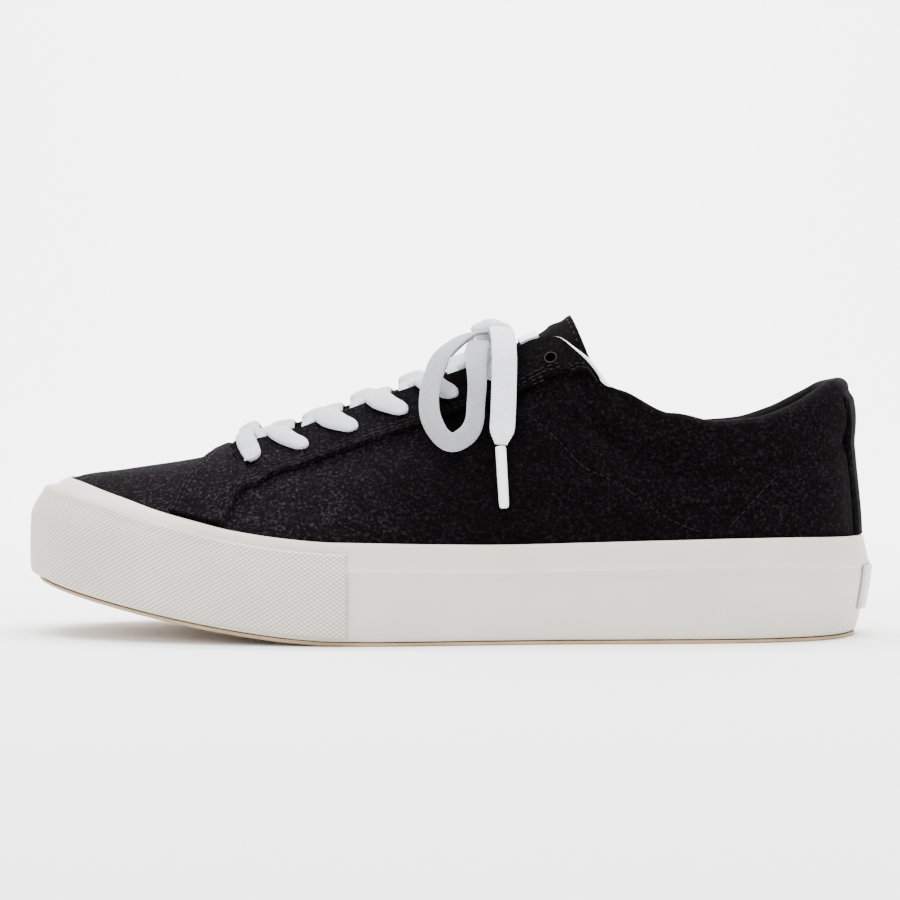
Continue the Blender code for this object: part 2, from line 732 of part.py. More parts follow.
def make_heel_patch():
    """Bare raised tab on the back of the foxing."""
    heights = (PATCH_LOW, 0.45, 0.60, PATCH_HIGH)
    outer, inner = [], []
    for turn in np.linspace(math.pi - PATCH_TURN, math.pi + PATCH_TURN, 9):
        side = side_profile(turn, heights)
        inner.append(placed(turn, moved_profile(side, [-GAP] * len(heights))))
        outer.append(placed(turn, moved_profile(side, [-GAP - PATCH_WALL] * len(heights))))
    return finish(slab("heel_patch", outer, inner), (0.66, 0.63, 0.58), 0.45)


def make_insole():
    """Foam insole inside the upper, on the foot bed."""
    turns = turns_round(26)

    def inset(turn):
        return leg_profile(turn, UPPER_WALL + SOFT_GAP)[0][0]

    rings = [
        ring(turns, lambda turn: inset(turn) + 0.0004, lambda share: bed_height(share) + GAP),
        ring(turns, inset, lambda share: bed_height(share) + GAP + INSOLE_WALL * 0.3),
        ring(turns, inset, lambda share: bed_height(share) + GAP + INSOLE_WALL * 0.7),
        ring(turns, lambda turn: inset(turn) + 0.0010,
             lambda share: bed_height(share) + GAP + INSOLE_WALL),
    ]
    return finish(ringed("insole", rings), (0.55, 0.54, 0.52), 0.85)


def station_turns():
    """Turns of the upper's ribs along one side, and the number of the last rib of the vamp."""
    front = angle_of(THROAT_FRONT)
    vamp = list(np.linspace(0.0, front, VAMP_STEPS + 1))
    blunt = [angle_of(THROAT_FRONT + step) for step in FRONT_STEPS]
    rest = list(np.linspace(blunt[-1], math.pi, THROAT_STEPS))
    return vamp + blunt[:-1] + rest, VAMP_STEPS


def rim_points(turn, top, lining, at_front):
    """Rounded edge between a rib's outer top and its lining."""
    _, _, upward = top_directions(turn)
    curve = rib_curve(turn)
    leaving = unit(curve[3] - curve[2])
    if at_front:
        leaving = np.array((1.0, 0.0, RIDGE_SLOPE))
    middle, half = (top + lining) / 2, (lining - top) / 2
    height = rim_height(turn)
    return [middle - half * math.cos(angle) + leaving * height * math.sin(angle)
            for angle in (math.pi / 4, math.pi / 2, 3 * math.pi / 4)]


def upper_loop(turn, at_front):
    """Closed loop of points through the upper's wall at a turn."""
    outer = placed(turn, leg_profile(turn, 0.0)[:-1])
    outer += [upper_point(turn, height) for height in RIB_ROWS]
    lining = [upper_point(turn, height, upper_wall(turn, height)) for height in LINING_ROWS]
    lining += reversed(placed(turn, leg_profile(turn, UPPER_WALL)[:-1]))
    rim = rim_points(turn, outer[-1], lining[0], at_front)
    return outer, rim, lining


def make_upper():
    """Hollow upper: vamp, quarters and padded collar in one wall, open at the throat and below."""
    turns, last_vamp = station_turns()
    last = len(turns) - 1
    points, numbers, faces = [], {}, []
    loops = {}
    for side in (-1, 1):
        for station, reach in enumerate(turns):
            turn = side * max(reach, 1e-4) if station < last else side * (math.pi - 1e-4)
            loops[side, station] = upper_loop(turn, station <= last_vamp)
    outer, rim, lining = loops[1, 0]
    top_row = len(outer) - 1
    lining_row = top_row + len(rim) + 1

    def number(side, station, row):
        shared = station in (0, last) or (station <= last_vamp and top_row <= row <= lining_row)
        key = (0 if shared else side, station, row)
        if key not in numbers:
            one = loops[side, station]
            chain = one[0] + one[1] + one[2]
            if shared:
                other = loops[-side, station]
                other_chain = other[0] + other[1] + other[2]
                place = (chain[row] + other_chain[row]) / 2
            else:
                place = chain[row]
            numbers[key] = len(points)
            points.append(place)
        return numbers[key]

    rows = len(outer) + len(rim) + len(lining)
    for side in (-1, 1):
        for station in range(last):
            for row in range(rows):
                after = (row + 1) % rows
                if station + 1 <= last_vamp and top_row <= row < lining_row:
                    continue
                corners = []
                for corner in (number(side, station, row), number(side, station + 1, row),
                               number(side, station + 1, after), number(side, station, after)):
                    if corner not in corners:
                        corners.append(corner)
                faces.append(tuple(corners))
    solid = solid_from("upper", points, faces)
    return finish(solid, (0.022, 0.018, 0.021), 0.9)


def turn_at_top(place):
    """Turn of the rib whose top lies at a share of the shoe's length."""
    low, high = 0.0, math.pi
    for _ in range(40):
        middle = (low + high) / 2
        if RIB["top"](middle) < place:
            low = middle
        else:
            high = middle
    return (low + high) / 2


def rib_chord(turn):
    """Straight length of a rib."""
    curve = rib_curve(turn)
    return np.linalg.norm(curve[3] - curve[0])


def height_below_top(turn, distance):
    """Share of a rib's height at a distance from its top."""
    return 1 - distance / rib_chord(turn)


def overlay_height(turn, height):
    """Share of a rib's height, kept over the foxing's lip."""
    return max(height, OVERLAY_FOOT / rib_chord(turn))


def eyelet_turn(number):
    """Turn of an eyelet's rib; eyelets are numbered from 1 at the toe, and halves lie between."""
    step = (EYELET_LAST - EYELET_FIRST) / (EYELET_COUNT - 1)
    return turn_at_top(EYELET_FIRST + (number - 1) * step)


def eyelet_place(side, number, depth):
    """Point and normal at an eyelet."""
    turn = side * eyelet_turn(number)
    height = height_below_top(turn, EYELET_EDGE)
    return upper_point(turn, height, depth), surface_normal(turn, height)


def make_eyestay():
    """Reinforcement round the throat, one layer over the upper and joined over the vamp."""
    heights = [row[0] for row in EYESTAY_TABLE[1:]]
    before, after = 3, 22
    first = angle_of(EYESTAY["front"](1.0))
    last = angle_of(EYESTAY["rear"](1.0))
    joined = (angle_of(THROAT_FRONT) - first) / (last - first)
    spread = [joined * index / before for index in range(before)]
    spread += [joined + (1 - joined) * (index / after) ** 1.3 for index in range(after + 1)]
    points, numbers, faces = [], {}, []

    def number(side, layer, column, row):
        shared = row == len(heights) - 1 and column <= before
        key = (0 if shared else side, layer, column, row)
        if key not in numbers:
            height = heights[row]
            start = angle_of(EYESTAY["front"](height))
            end = angle_of(EYESTAY["rear"](height))
            turn = start + (end - start) * spread[column]
            height = overlay_height(turn, height)
            depth = -OVERLAY_GAP - OVERLAY_WALL * layer
            place = upper_point(side * turn, height, depth)
            if shared:
                place = (place + upper_point(-side * turn, height, depth)) / 2
            numbers[key] = len(points)
            points.append(place)
        return numbers[key]

    last_row, last_column = len(heights) - 1, len(spread) - 1
    for side in (-1, 1):
        for layer in (0, 1):
            for column in range(last_column):
                for row in range(last_row):
                    faces += split((number(side, layer, column + 1, row),
                                    number(side, layer, column + 1, row + 1),
                                    number(side, layer, column, row + 1),
                                    number(side, layer, column, row)))
        for row in range(last_row):
            for column in (0, last_column):
                faces.append((number(side, 0, column, row), number(side, 0, column, row + 1),
                              number(side, 1, column, row + 1), number(side, 1, column, row)))
        for column in range(last_column):
            for row in (0, last_row):
                if row == last_row and column < before:
                    continue
                faces.append((number(side, 0, column, row), number(side, 0, column + 1, row),
                              number(side, 1, column + 1, row), number(side, 1, column, row)))
    return finish(solid_from("eyestay", points, faces), (0.028, 0.023, 0.027), 0.9)


def make_backstay():
    """Strip up the back of the heel."""
    outer, inner = [], []
    for turn in np.linspace(math.pi - BACKSTAY_TURN, math.pi + BACKSTAY_TURN, 9):
        heights = [overlay_height(turn, height) for height in BACKSTAY_ROWS]
        inner.append([upper_point(turn, height, -GAP) for height in heights])
        outer.append([upper_point(turn, height, -GAP - OVERLAY_WALL) for height in heights])
    return finish(slab("backstay", outer, inner), (0.022, 0.018, 0.021), 0.9)


def tongue_edge(turn):
    """Top of the lining at the throat, moved in by the tongue's clearance."""
    return upper_point(turn, 1.0, upper_wall(turn, 1.0) + TONGUE_GAP)


def tongue_point(share, across):
    """Point of the tongue's face; across runs from -1 on the outer side to 1 on the inner side."""
    reach = angle_of(share)
    side = -1.0 if across < 0 else 1.0
    amount = abs(across)
    edges = tongue_edge(-reach), tongue_edge(reach)
    if amount <= TONGUE_EDGE:
        part = amount / TONGUE_EDGE
        middle = (edges[0] + edges[1]) / 2
        edge = edges[0] if side < 0 else edges[1]
        lift = TONGUE["crown"](share) * TONGUE_RISE * (1 - part * part) ** 0.7
        return middle + (edge - middle) * part + THROAT_UP * lift
    turn = side * reach
    part = (amount - TONGUE_EDGE) / (1 - TONGUE_EDGE)
    height = height_below_top(turn, TONGUE_FLANK * part)
    return upper_point(turn, height, upper_wall(turn, height) + TONGUE_GAP)


def grid_normals(grid):
    """Normals of a grid of points, by differences between neighbours."""
    normals = []
    for column in range(len(grid)):
        line = []
        before, after = grid[max(0, column - 1)], grid[min(len(grid) - 1, column + 1)]
        for row in range(len(grid[0])):
            along = after[row] - before[row]
            rise = (grid[column][min(len(grid[0]) - 1, row + 1)] - grid[column][max(0, row - 1)])
            line.append(unit(np.cross(along, rise)))
        normals.append(line)
    return normals


def make_tongue():
    """Padded tongue under the throat, tucked under the vamp at its front."""
    across = [-row for row in TONGUE_ROWS[:0:-1]] + list(TONGUE_ROWS)
    shares = sorted([row[0] for row in TONGUE_TABLE[1:]] + list(TONGUE_STEPS))
    sections = [[tongue_point(share, place) for place in across] for share in shares]
    first = sections[0]
    tucked = []
    for part in (1.0, 0.5):
        shift = TONGUE_TUCK * part * np.array((-math.cos(THROAT_SLOPE), 0.0, -math.sin(THROAT_SLOPE)))
        shift[2] -= TONGUE_DIP * part
        middle = first[len(first) // 2][1]
        narrow = 1 - TONGUE_NARROW * part
        tucked.append([np.array((point[0], middle + (point[1] - middle) * narrow, point[2])) + shift
                       for point in first])
    face = tucked + sections
    normals = grid_normals(face)
    back = []
    for column, (line, directions) in enumerate(zip(face, normals)):
        back.append([point - direction * TONGUE_WALL for point, direction in zip(line, directions)])
    return finish(slab("tongue", face, back), (0.03, 0.027, 0.03), 0.9)


def above_tongue(share, across, lift):
    """Point over the tongue's face."""
    step = 0.004
    place = tongue_point(share, across)
    along = tongue_point(share + step, across) - place
    sideways = tongue_point(share, across + step) - place
    normal = unit(np.cross(along, sideways))
    return place + (normal if normal[2] > 0 else -normal) * lift


def lace_point(station, across, lift):
    """Point over the tongue, the throat's edge or the eyestay, a lift above what lies there."""
    side = -1.0 if across < 0 else 1.0
    amount = abs(across)
    reach = eyelet_turn(station)
    turn = side * reach
    over_eyestay = OVERLAY_GAP + OVERLAY_WALL
    if amount < OVER_TONGUE:
        return above_tongue(share_at(reach), across * TONGUE_EDGE, lift)
    top = rib_top(turn)
    curve = rib_curve(turn)
    leaving = unit(curve[3] - curve[2])
    if amount < OVER_RIM:
        crest = top - surface_normal(turn, 1.0) * UPPER_WALL / 2
        return crest + leaving * (rim_height(turn) + lift)
    if amount < OVER_CORNER:
        corner = top + surface_normal(turn, 1.0) * (over_eyestay * 0.75 + lift * 0.6)
        return corner + leaving * lift
    height = height_below_top(turn, EYELET_EDGE * (amount - 1))
    return upper_point(turn, height, -over_eyestay - lift)


def band(name, inner):
    """A ribbon: a grid of points and the same grid a lace's thickness above it."""
    normals = grid_normals(inner)
    rise = LACE_THICKNESS if normals[0][0][2] > 0 else -LACE_THICKNESS
    outer = [[point + normal * rise for point, normal in zip(line, directions)]
             for line, directions in zip(inner, normals)]
    return slab(name, outer, inner)


def lace_grid(table, number, side, raised=0.0):
    """Grid of a length of lace; it rises in the middle to pass over another."""
    grid = []
    for across, station, lift, half in table[1:]:
        rise = LACE_GAP + lift * LACE_THICKNESS + (raised if abs(across) < 0.1 else 0.0)
        grid.append([lace_point(number + station + half * part, side * across, rise)
                     for part in (-1.0, 0.0, 1.0)])
    return grid


def lace_finish(solid):
    """Plain white cotton."""
    return finish(solid, (0.64, 0.63, 0.65), 0.85)


def make_crossing(number):
    """Two lengths of lace that cross over the tongue, joined where they meet."""
    under = band("lace_cross_%d" % number, lace_grid(CROSSING_TABLE, number, 1.0))
    over = band("lace_over_%d" % number,
                lace_grid(CROSSING_TABLE, number, -1.0, LACE_THICKNESS * 0.45))
    join = under.modifiers.new("join", "BOOLEAN")
    join.operation = "UNION"
    join.solver = "EXACT"
    join.object = over
    over.hide_render = True
    over.display_type = "WIRE"
    return lace_finish(under)


def mirrored(point, side):
    """A place of the bow on the outer side, or its image on the inner side."""
    return point if side < 0 else point * np.array((1.0, -FAR_SPREAD, 1.0))


def make_bow_band(name, table, side):
    """A flat band of the bow along a table's places."""
    rows = np.array(table[1:], dtype=float)
    last = len(rows) - 1
    curves = [monotone_curve(np.arange(last + 1), rows[:, column]) for column in range(7)]
    steps = np.linspace(0, last, int(1.5 * last) + 1)
    middles = [np.array([curve(step) for curve in curves[:3]]) / 1000 for step in steps]
    outer, inner = [], []
    for number, step in enumerate(steps):
        before, after = middles[max(0, number - 1)], middles[min(len(steps) - 1, number + 1)]
        along = unit(after - before)
        face = np.array([curve(step) for curve in curves[3:6]])
        wide = unit(np.cross(face, along)) * LACE_WIDTH / 2 * curves[6](step)
        face = unit(np.cross(along, wide)) * LACE_THICKNESS / 2
        line = [middles[number] + wide * part for part in (-1, 0, 1)]
        outer.append([mirrored(point + face, side) for point in line])
        inner.append([mirrored(point - face, side) for point in line])
    return lace_finish(slab(name, outer, inner))


def make_aglet(name, side):
    """Stiff tip at the end of the lace."""
    low, high = [mirrored(np.array(end) / 1000, side) for end in AGLET_ENDS]
    axis = unit(high - low)
    wide = unit(np.cross(axis, np.array((0.0, 1.0, 0.0))))
    deep = np.cross(axis, wide)
    rings = []
    for place in (low, high):
        rings.append([place + (wide * math.cos(angle) + deep * math.sin(angle)) * AGLET_WIDTH / 2
                      for angle in np.linspace(0, 2 * math.pi, 9)[:-1]])
    return finish(ringed(name, rings), (0.66, 0.66, 0.67), 0.3)


def make_knot():
    """The bow's knot as one rounded solid."""
    shape = bmesh.new()
    bmesh.ops.create_icosphere(shape, subdivisions=2, radius=1.0)
    for corner in shape.verts:
        corner.co = [middle + half * value
                     for middle, half, value in zip(KNOT_PLACE, KNOT_HALVES, corner.co)]
    mesh = bpy.data.meshes.new("lace_knot")
    shape.to_mesh(mesh)
    shape.free()
    mesh.shade_smooth()
    solid = bpy.data.objects.new("lace_knot", mesh)
    bpy.context.collection.objects.link(solid)
    return lace_finish(solid)


def make_label():
    """Bare woven label across the tongue, close to its end."""
    outer, inner = [], []
    for share in LABEL_SHARES:
        places = np.linspace(-LABEL_REACH, LABEL_REACH, 7)
        inner.append([above_tongue(share, across, LABEL_GAP) for across in places])
        outer.append([above_tongue(share, across, LABEL_GAP + LABEL_WALL) for across in places])
    return finish(slab("tongue_label", outer, inner), (0.62, 0.62, 0.62), 0.8)


def main():
    """Build every piece of the shoe."""
    for old in list(bpy.data.objects):
        bpy.data.objects.remove(old, do_unlink=True)
    make_outsole()
    make_foxing()
    make_toe_bumper()
    make_heel_patch()
    make_insole()
    make_upper()
    make_eyestay()
    make_backstay()
    make_tongue()
    make_label()
    lace_finish(band("lace_bar_front", lace_grid(BAR_TABLE, 0.0, 1.0)))
    for number in range(1, EYELET_COUNT - 1):
        make_crossing(number)
    lace_finish(band("lace_bar_top", lace_grid(TOP_BAR_TABLE, EYELET_COUNT - 1.0, 1.0)))
    make_knot()
    for side, name in ((-1, "near"), (1, "far")):
        make_bow_band("lace_loop_" + name, LOOP_TABLE, side)
        make_bow_band("lace_end_" + name, END_TABLE, side)
        make_aglet("aglet_" + name, side)


main()
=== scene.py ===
"""Looks for the low suede skateboarding shoe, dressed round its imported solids.

The toe points along -X, the outer side of the foot is at -Y and the floor is z = 0. Everything
is in metres. A place on the upper is a turn round the shoe (0 at the toe, pi at the heel,
negative on the outer side) and a share of the height from the foxing to the top.
"""
import math

import bmesh
import bpy
import numpy as np
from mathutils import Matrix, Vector


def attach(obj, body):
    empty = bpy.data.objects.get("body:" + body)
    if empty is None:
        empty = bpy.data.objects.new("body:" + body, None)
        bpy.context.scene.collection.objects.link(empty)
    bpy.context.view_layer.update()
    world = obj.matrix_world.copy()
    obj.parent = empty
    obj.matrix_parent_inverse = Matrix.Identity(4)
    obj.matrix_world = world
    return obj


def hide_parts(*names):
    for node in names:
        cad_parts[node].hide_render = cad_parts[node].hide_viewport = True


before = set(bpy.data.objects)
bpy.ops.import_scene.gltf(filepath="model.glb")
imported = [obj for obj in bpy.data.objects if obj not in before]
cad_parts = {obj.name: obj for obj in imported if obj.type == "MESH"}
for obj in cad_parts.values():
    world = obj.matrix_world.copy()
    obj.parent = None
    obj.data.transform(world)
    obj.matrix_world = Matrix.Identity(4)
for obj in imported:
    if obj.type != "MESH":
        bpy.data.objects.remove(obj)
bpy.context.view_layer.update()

# Sizes, as in the part's source.
LENGTH = 0.296
BALL_WIDTH = 0.1052
SOLE_HEIGHT = 0.0350
TOE_SPRING = 0.0187
SPRING_START = 0.37
TOE_HEIGHT = 0.0574
INSTEP_HEIGHT = 0.1026
COLLAR_HEIGHT = 0.0894
FOXING_WALL = 0.0030
FOXING_LIP = 0.0009
FOXING_STEP = 0.0004
BUMPER_WALL = 0.0013
FOOT_BED_ROLL = 0.0009
PATCH_WALL = 0.0010
UPPER_WALL = 0.0022
COLLAR_PAD = 0.0080
PAD_PROUD = 0.0012
OVERLAY_WALL = 0.0011
OVERLAY_FOOT = 0.0018
TONGUE_WALL = 0.0050
LABEL_WALL = 0.0008
GAP = 0.0003
SEAT_GAP = 0.0006
OVERLAY_GAP = 0.0011
TONGUE_GAP = 0.0015
EDGE_THICKNESS = 0.0012
BUMPER_END = 0.384
BUMPER_TOP = 0.885
PATCH_TURN = 0.24
PATCH_LOW = 0.24
PATCH_HIGH = 0.695
THROAT_FRONT = 0.270
THROAT_SLOPE = math.radians(20)
THROAT_UP = np.array((-math.sin(THROAT_SLOPE), 0.0, math.cos(THROAT_SLOPE)))
RIDGE_SLOPE = 0.17
TONGUE_RISE = 0.025
TONGUE_FLANK = 0.013
TONGUE_TUCK = 0.014
TONGUE_DIP = 0.0034
TONGUE_NARROW = 0.20
TONGUE_EDGE = 0.62
EYELET_COUNT = 7
EYELET_FIRST = 0.262
EYELET_LAST = 0.6105
EYELET_BORE = 0.0036
EYELET_EDGE = 0.0100
LACE_WIDTH = 0.0085
LACE_THICKNESS = 0.0015
LACE_GAP = 0.0005
AGLET_WIDTH = 0.0036
LABEL_REACH = 0.40
LABEL_SHARES = (0.631, 0.646, 0.661)
LABEL_GAP = 0.0006

SOLE_TABLE = (
    ("share", "width", "centre", "side", "bed"),
    (0.000, 0.000, 0.085, 1.035, 0.40),
    (0.010, 0.270, 0.084, 1.043, 0.40),
    (0.050, 0.559, 0.077, 1.066, 0.39),
    (0.100, 0.730, 0.067, 1.058, 0.39),
    (0.150, 0.835, 0.052, 1.030, 0.39),
    (0.200, 0.906, 0.038, 1.012, 0.39),
    (0.250, 0.958, 0.024, 0.990, 0.39),
    (0.300, 0.987, 0.010, 0.985, 0.39),
    (0.350, 0.998, 0.000, 0.982, 0.39),
    (0.400, 1.000, -0.008, 0.978, 0.41),
    (0.450, 0.970, -0.014, 0.968, 0.44),
    (0.500, 0.917, -0.021, 0.960, 0.48),
    (0.550, 0.865, -0.027, 0.954, 0.51),
    (0.600, 0.827, -0.029, 0.958, 0.54),
    (0.650, 0.803, -0.028, 0.968, 0.56),
    (0.750, 0.794, -0.019, 0.988, 0.58),
    (0.850, 0.779, -0.009, 1.006, 0.58),
    (0.900, 0.732, -0.005, 1.010, 0.58),
    (0.950, 0.600, -0.002, 1.004, 0.58),
    (0.990, 0.278, 0.000, 0.998, 0.58),
    (1.000, 0.000, 0.000, 0.996, 0.58),
)
SIDE_TABLE = (
    ("height", "toe", "side", "heel"),
    (0.00, 0.035, 0.022, 0.125),
    (0.10, 0.005, 0.008, 0.095),
    (0.25, 0.000, 0.006, 0.062),
    (0.62, 0.010, 0.004, 0.006),
    (0.70, 0.042, 0.000, 0.000),
    (0.80, 0.104, 0.017, 0.016),
    (0.89, 0.178, 0.034, 0.032),
    (1.00, 0.350, 0.056, 0.056),
)
RIDGE_HEIGHT = 0.70
RIB_TABLE = (
    ("share", "top", "centre", "half", "toe", "instep", "collar", "tilt",
     "low_lean", "top_lean", "low_pull", "top_pull", "pad"),
    (0.000, 0.118, 0.072, 0.000, 1.000, 0.000, 0.000, 0.000, 62, 90, 0.25, 0.45, 0.00),
    (0.060, 0.128, 0.070, 0.000, 1.008, 0.000, 0.000, 0.000, 56, 90, 0.26, 0.46, 0.00),
    (0.120, 0.152, 0.062, 0.000, 1.026, 0.000, 0.000, 0.000, 50, 90, 0.27, 0.47, 0.00),
    (0.190, 0.190, 0.050, 0.000, 1.056, 0.000, 0.000, 0.000, 43, 90, 0.28, 0.48, 0.00),
    (0.250, 0.225, 0.038, 0.000, 1.096, 0.000, 0.000, 0.000, 38, 88, 0.30, 0.46, 0.00),
    (0.270, 0.240, 0.034, 0.000, 1.125, 0.000, 0.000, 0.000, 36, 84, 0.30, 0.44, 0.00),
    (0.282, 0.249, 0.032, 0.080, 0.575, 0.318, 0.000, 0.012, 34, 70, 0.30, 0.38, 0.00),
    (0.300, 0.262, 0.030, 0.104, 0.000, 0.640, 0.000, 0.021, 30, 62, 0.30, 0.36, 0.00),
    (0.360, 0.315, 0.024, 0.120, 0.000, 0.690, 0.000, 0.021, 21, 54, 0.31, 0.34, 0.00),
    (0.440, 0.395, 0.016, 0.134, 0.000, 0.774, 0.000, 0.014, 13, 50, 0.33, 0.32, 0.00),
    (0.530, 0.485, 0.008, 0.148, 0.000, 0.861, 0.000, 0.007, 8, 48, 0.35, 0.31, 0.00),
    (0.620, 0.575, 0.002, 0.164, 0.000, 0.952, 0.000, 0.000, 5, 46, 0.36, 0.30, 0.00),
    (0.650, 0.600, 0.001, 0.172, 0.000, 0.991, 0.000, 0.000, 5, 44, 0.36, 0.30, 0.00),
    (0.680, 0.622, 0.000, 0.182, 0.000, 1.000, 0.000, 0.000, 4, 42, 0.36, 0.30, 0.00),
    (0.710, 0.644, -0.002, 0.204, 0.000, 0.963, 0.000, 0.000, 3, 36, 0.36, 0.30, 0.02),
    (0.740, 0.672, -0.004, 0.246, 0.000, 0.879, 0.000, 0.000, 3, 25, 0.36, 0.30, 0.10),
    (0.770, 0.704, -0.006, 0.282, 0.000, 0.410, 0.472, 0.000, 2, 14, 0.35, 0.30, 0.35),
    (0.810, 0.752, -0.008, 0.314, 0.000, 0.000, 0.866, 0.000, 2, 4, 0.34, 0.30, 0.80),
    (0.850, 0.802, -0.008, 0.326, 0.000, 0.000, 0.834, 0.000, 2, 0, 0.33, 0.30, 1.00),
    (0.890, 0.851, -0.006, 0.312, 0.000, 0.000, 0.843, 0.000, 2, -2, 0.33, 0.30, 1.00),
    (0.930, 0.898, -0.004, 0.268, 0.000, 0.000, 0.886, 0.000, 1, -3, 0.33, 0.30, 1.00),
    (0.965, 0.936, -0.002, 0.202, 0.000, 0.000, 0.946, 0.000, 1, -3, 0.33, 0.30, 1.00),
    (0.985, 0.958, 0.000, 0.135, 0.000, 0.000, 0.984, 0.000, 1, -3, 0.33, 0.30, 1.00),
    (1.000, 0.974, 0.000, 0.000, 0.000, 0.000, 1.000, 0.000, 1, -2, 0.33, 0.30, 1.00),
)
TONGUE_TABLE = (
    ("share", "crown"),
    (0.288, 0.02),
    (0.310, 0.09),
    (0.360, 0.14),
    (0.440, 0.17),
    (0.530, 0.20),
    (0.620, 0.24),
    (0.650, 0.21),
    (0.680, 0.30),
    (0.712, 0.56),
    (0.742, 1.00),
)
CREASE_TABLE = (
    ("share", "depth"),
    (0.640, 0.12),
    (0.700, 0.26),
    (0.770, 0.25),
    (0.850, 0.20),
    (0.930, 0.22),
    (1.000, 0.23),
)
EYESTAY_TABLE = (
    ("height", "front", "rear"),
    (0.00, 0.166, 0.238),
    (0.15, 0.170, 0.244),
    (0.28, 0.173, 0.254),
    (0.42, 0.180, 0.276),
    (0.55, 0.190, 0.302),
    (0.66, 0.203, 0.360),
    (0.70, 0.209, 0.440),
    (0.73, 0.212, 0.560),
    (0.76, 0.216, 0.640),
    (0.82, 0.224, 0.705),
    (0.90, 0.238, 0.722),
    (1.00, 0.247, 0.742),
)


# The shoe's own curves.
def angle_of(share):
    """Turn of a share of the length."""
    return math.acos(max(-1.0, min(1.0, 1 - 2 * share)))


def smooth(value):
    """Soft step from 0 to 1, on numbers or arrays."""
    value = np.clip(value, 0.0, 1.0)
    return value * value * (3 - 2 * value)


def monotone_curve(places, values):
    """Smooth curve through points that never overshoots them; it takes arrays."""
    steps = np.diff(places)
    rises = np.diff(values) / steps
    slopes = np.zeros(len(places))
    slopes[0], slopes[-1] = rises[0], rises[-1]
    for index in range(1, len(places) - 1):
        before, after = rises[index - 1], rises[index]
        if before * after > 0:
            weight_a = 2 * steps[index] + steps[index - 1]
            weight_b = steps[index] + 2 * steps[index - 1]
            slopes[index] = (weight_a + weight_b) / (weight_a / before + weight_b / after)

    def value_at(place):
        place = np.clip(np.asarray(place, dtype=float), places[0], places[-1])
        index = np.clip(np.searchsorted(places, place, side="right") - 1, 0, len(places) - 2)
        step = steps[index]
        t = (place - places[index]) / step
        return (values[index] * (1 + 2 * t) * (1 - t) ** 2
                + slopes[index] * step * t * (1 - t) ** 2
                + values[index + 1] * t * t * (3 - 2 * t)
                + slopes[index + 1] * step * t * t * (t - 1))

    return value_at


def columns(table, place_of=lambda value: value):
    """Each named column of a table as a smooth curve over its first column."""
    names, rows = table[0], table[1:]
    places = np.array([place_of(row[0]) for row in rows])
    return {name: monotone_curve(places, np.array([row[index] for row in rows], dtype=float))
            for index, name in enumerate(names) if index > 0}


SOLE = columns(SOLE_TABLE, angle_of)
SIDE = columns(SIDE_TABLE)
RIB = columns(RIB_TABLE, angle_of)
TONGUE = columns(TONGUE_TABLE)
CREASE = columns(CREASE_TABLE)
EYESTAY = columns(EYESTAY_TABLE)
TOE_X = -LENGTH / 2 + BUMPER_WALL + GAP
HEEL_X = LENGTH / 2 - PATCH_WALL - GAP
SOLE_LENGTH = HEEL_X - TOE_X


def share_at(turn):
    """Share of the length at turns."""
    return (1 - np.cos(turn)) / 2


def reach_of(turn):
    """Turns folded onto one side, from 0 to pi."""
    turn = np.abs(np.asarray(turn, dtype=float))
    return np.where(turn <= math.pi, turn, 2 * math.pi - turn)


def side_sign(turn):
    """-1 on the outer side and 1 on the inner side."""
    return np.where(np.sin(turn) >= 0, 1.0, -1.0)


def unit(vectors):
    """Vectors of length 1 along the last axis."""
    vectors = np.asarray(vectors, dtype=float)
    return vectors / np.maximum(np.linalg.norm(vectors, axis=-1, keepdims=True), 1e-12)


def sole_plan(turn, shift):
    """Outline of the sole in plan."""
    reach = reach_of(turn)
    half = SOLE["width"](reach) * BALL_WIDTH / 2
    middle = SOLE["centre"](reach) * BALL_WIDTH + shift
    return np.stack((TOE_X + share_at(turn) * SOLE_LENGTH, middle + side_sign(turn) * half), -1)


ROUND = sole_plan(np.linspace(-math.pi, math.pi, 721), 0.0)[:, 1]
SHIFT = -(ROUND.max() + ROUND.min()) / 2


def outline(turn):
    """Outline of the sole and its inward normals."""
    step = 1e-3
    along = unit(sole_plan(turn + step, SHIFT) - sole_plan(turn - step, SHIFT))
    inward = np.stack((along[..., 1], -along[..., 0]), -1)
    return sole_plan(turn, SHIFT), inward


def floor_line(share):
    """Height of the tread over the floor."""
    return TOE_SPRING * np.maximum(0.0, 1 - share / SPRING_START) ** 1.5


def side_profile(turn, heights):
    """Insets and heights of the foxing's face: one row for each turn."""
    turn = np.asarray(turn, dtype=float)[:, None]
    heights = np.asarray(heights, dtype=float)[None, :]
    share = share_at(turn)
    low = floor_line(share) + EDGE_THICKNESS + GAP
    tall = floor_line(share) + SOLE["side"](reach_of(turn)) * SOLE_HEIGHT - low
    toe = smooth(1 - share / 0.32)
    heel = smooth((share - 0.78) / 0.20)
    inset = (SIDE["toe"](heights) * toe + SIDE["heel"](heights) * heel
             + SIDE["side"](heights) * (1 - toe - heel)) * SOLE_HEIGHT
    return np.stack((inset, low + heights * tall), -1)


def moved_profile(profile, distances):
    """Profiles moved square to themselves, inwards for positive distances."""
    run = np.gradient(profile, axis=1)
    size = np.linalg.norm(run, axis=-1, keepdims=True)
    inwards = np.stack((run[..., 1], -run[..., 0]), -1) / size
    return profile + inwards * np.asarray(distances)[..., None]


def placed(turn, profile):
    """Points in space for profiles of insets and heights."""
    plan, inward = outline(np.asarray(turn, dtype=float))
    flat = plan[:, None, :] + inward[:, None, :] * profile[..., :1]
    return np.concatenate((flat, profile[..., 1:]), -1)


def foxing_walls(heights):
    """Thickness of the foxing at shares of its height."""
    return FOXING_WALL + (FOXING_LIP - FOXING_WALL) * smooth((np.asarray(heights) - 0.55) / 0.45)


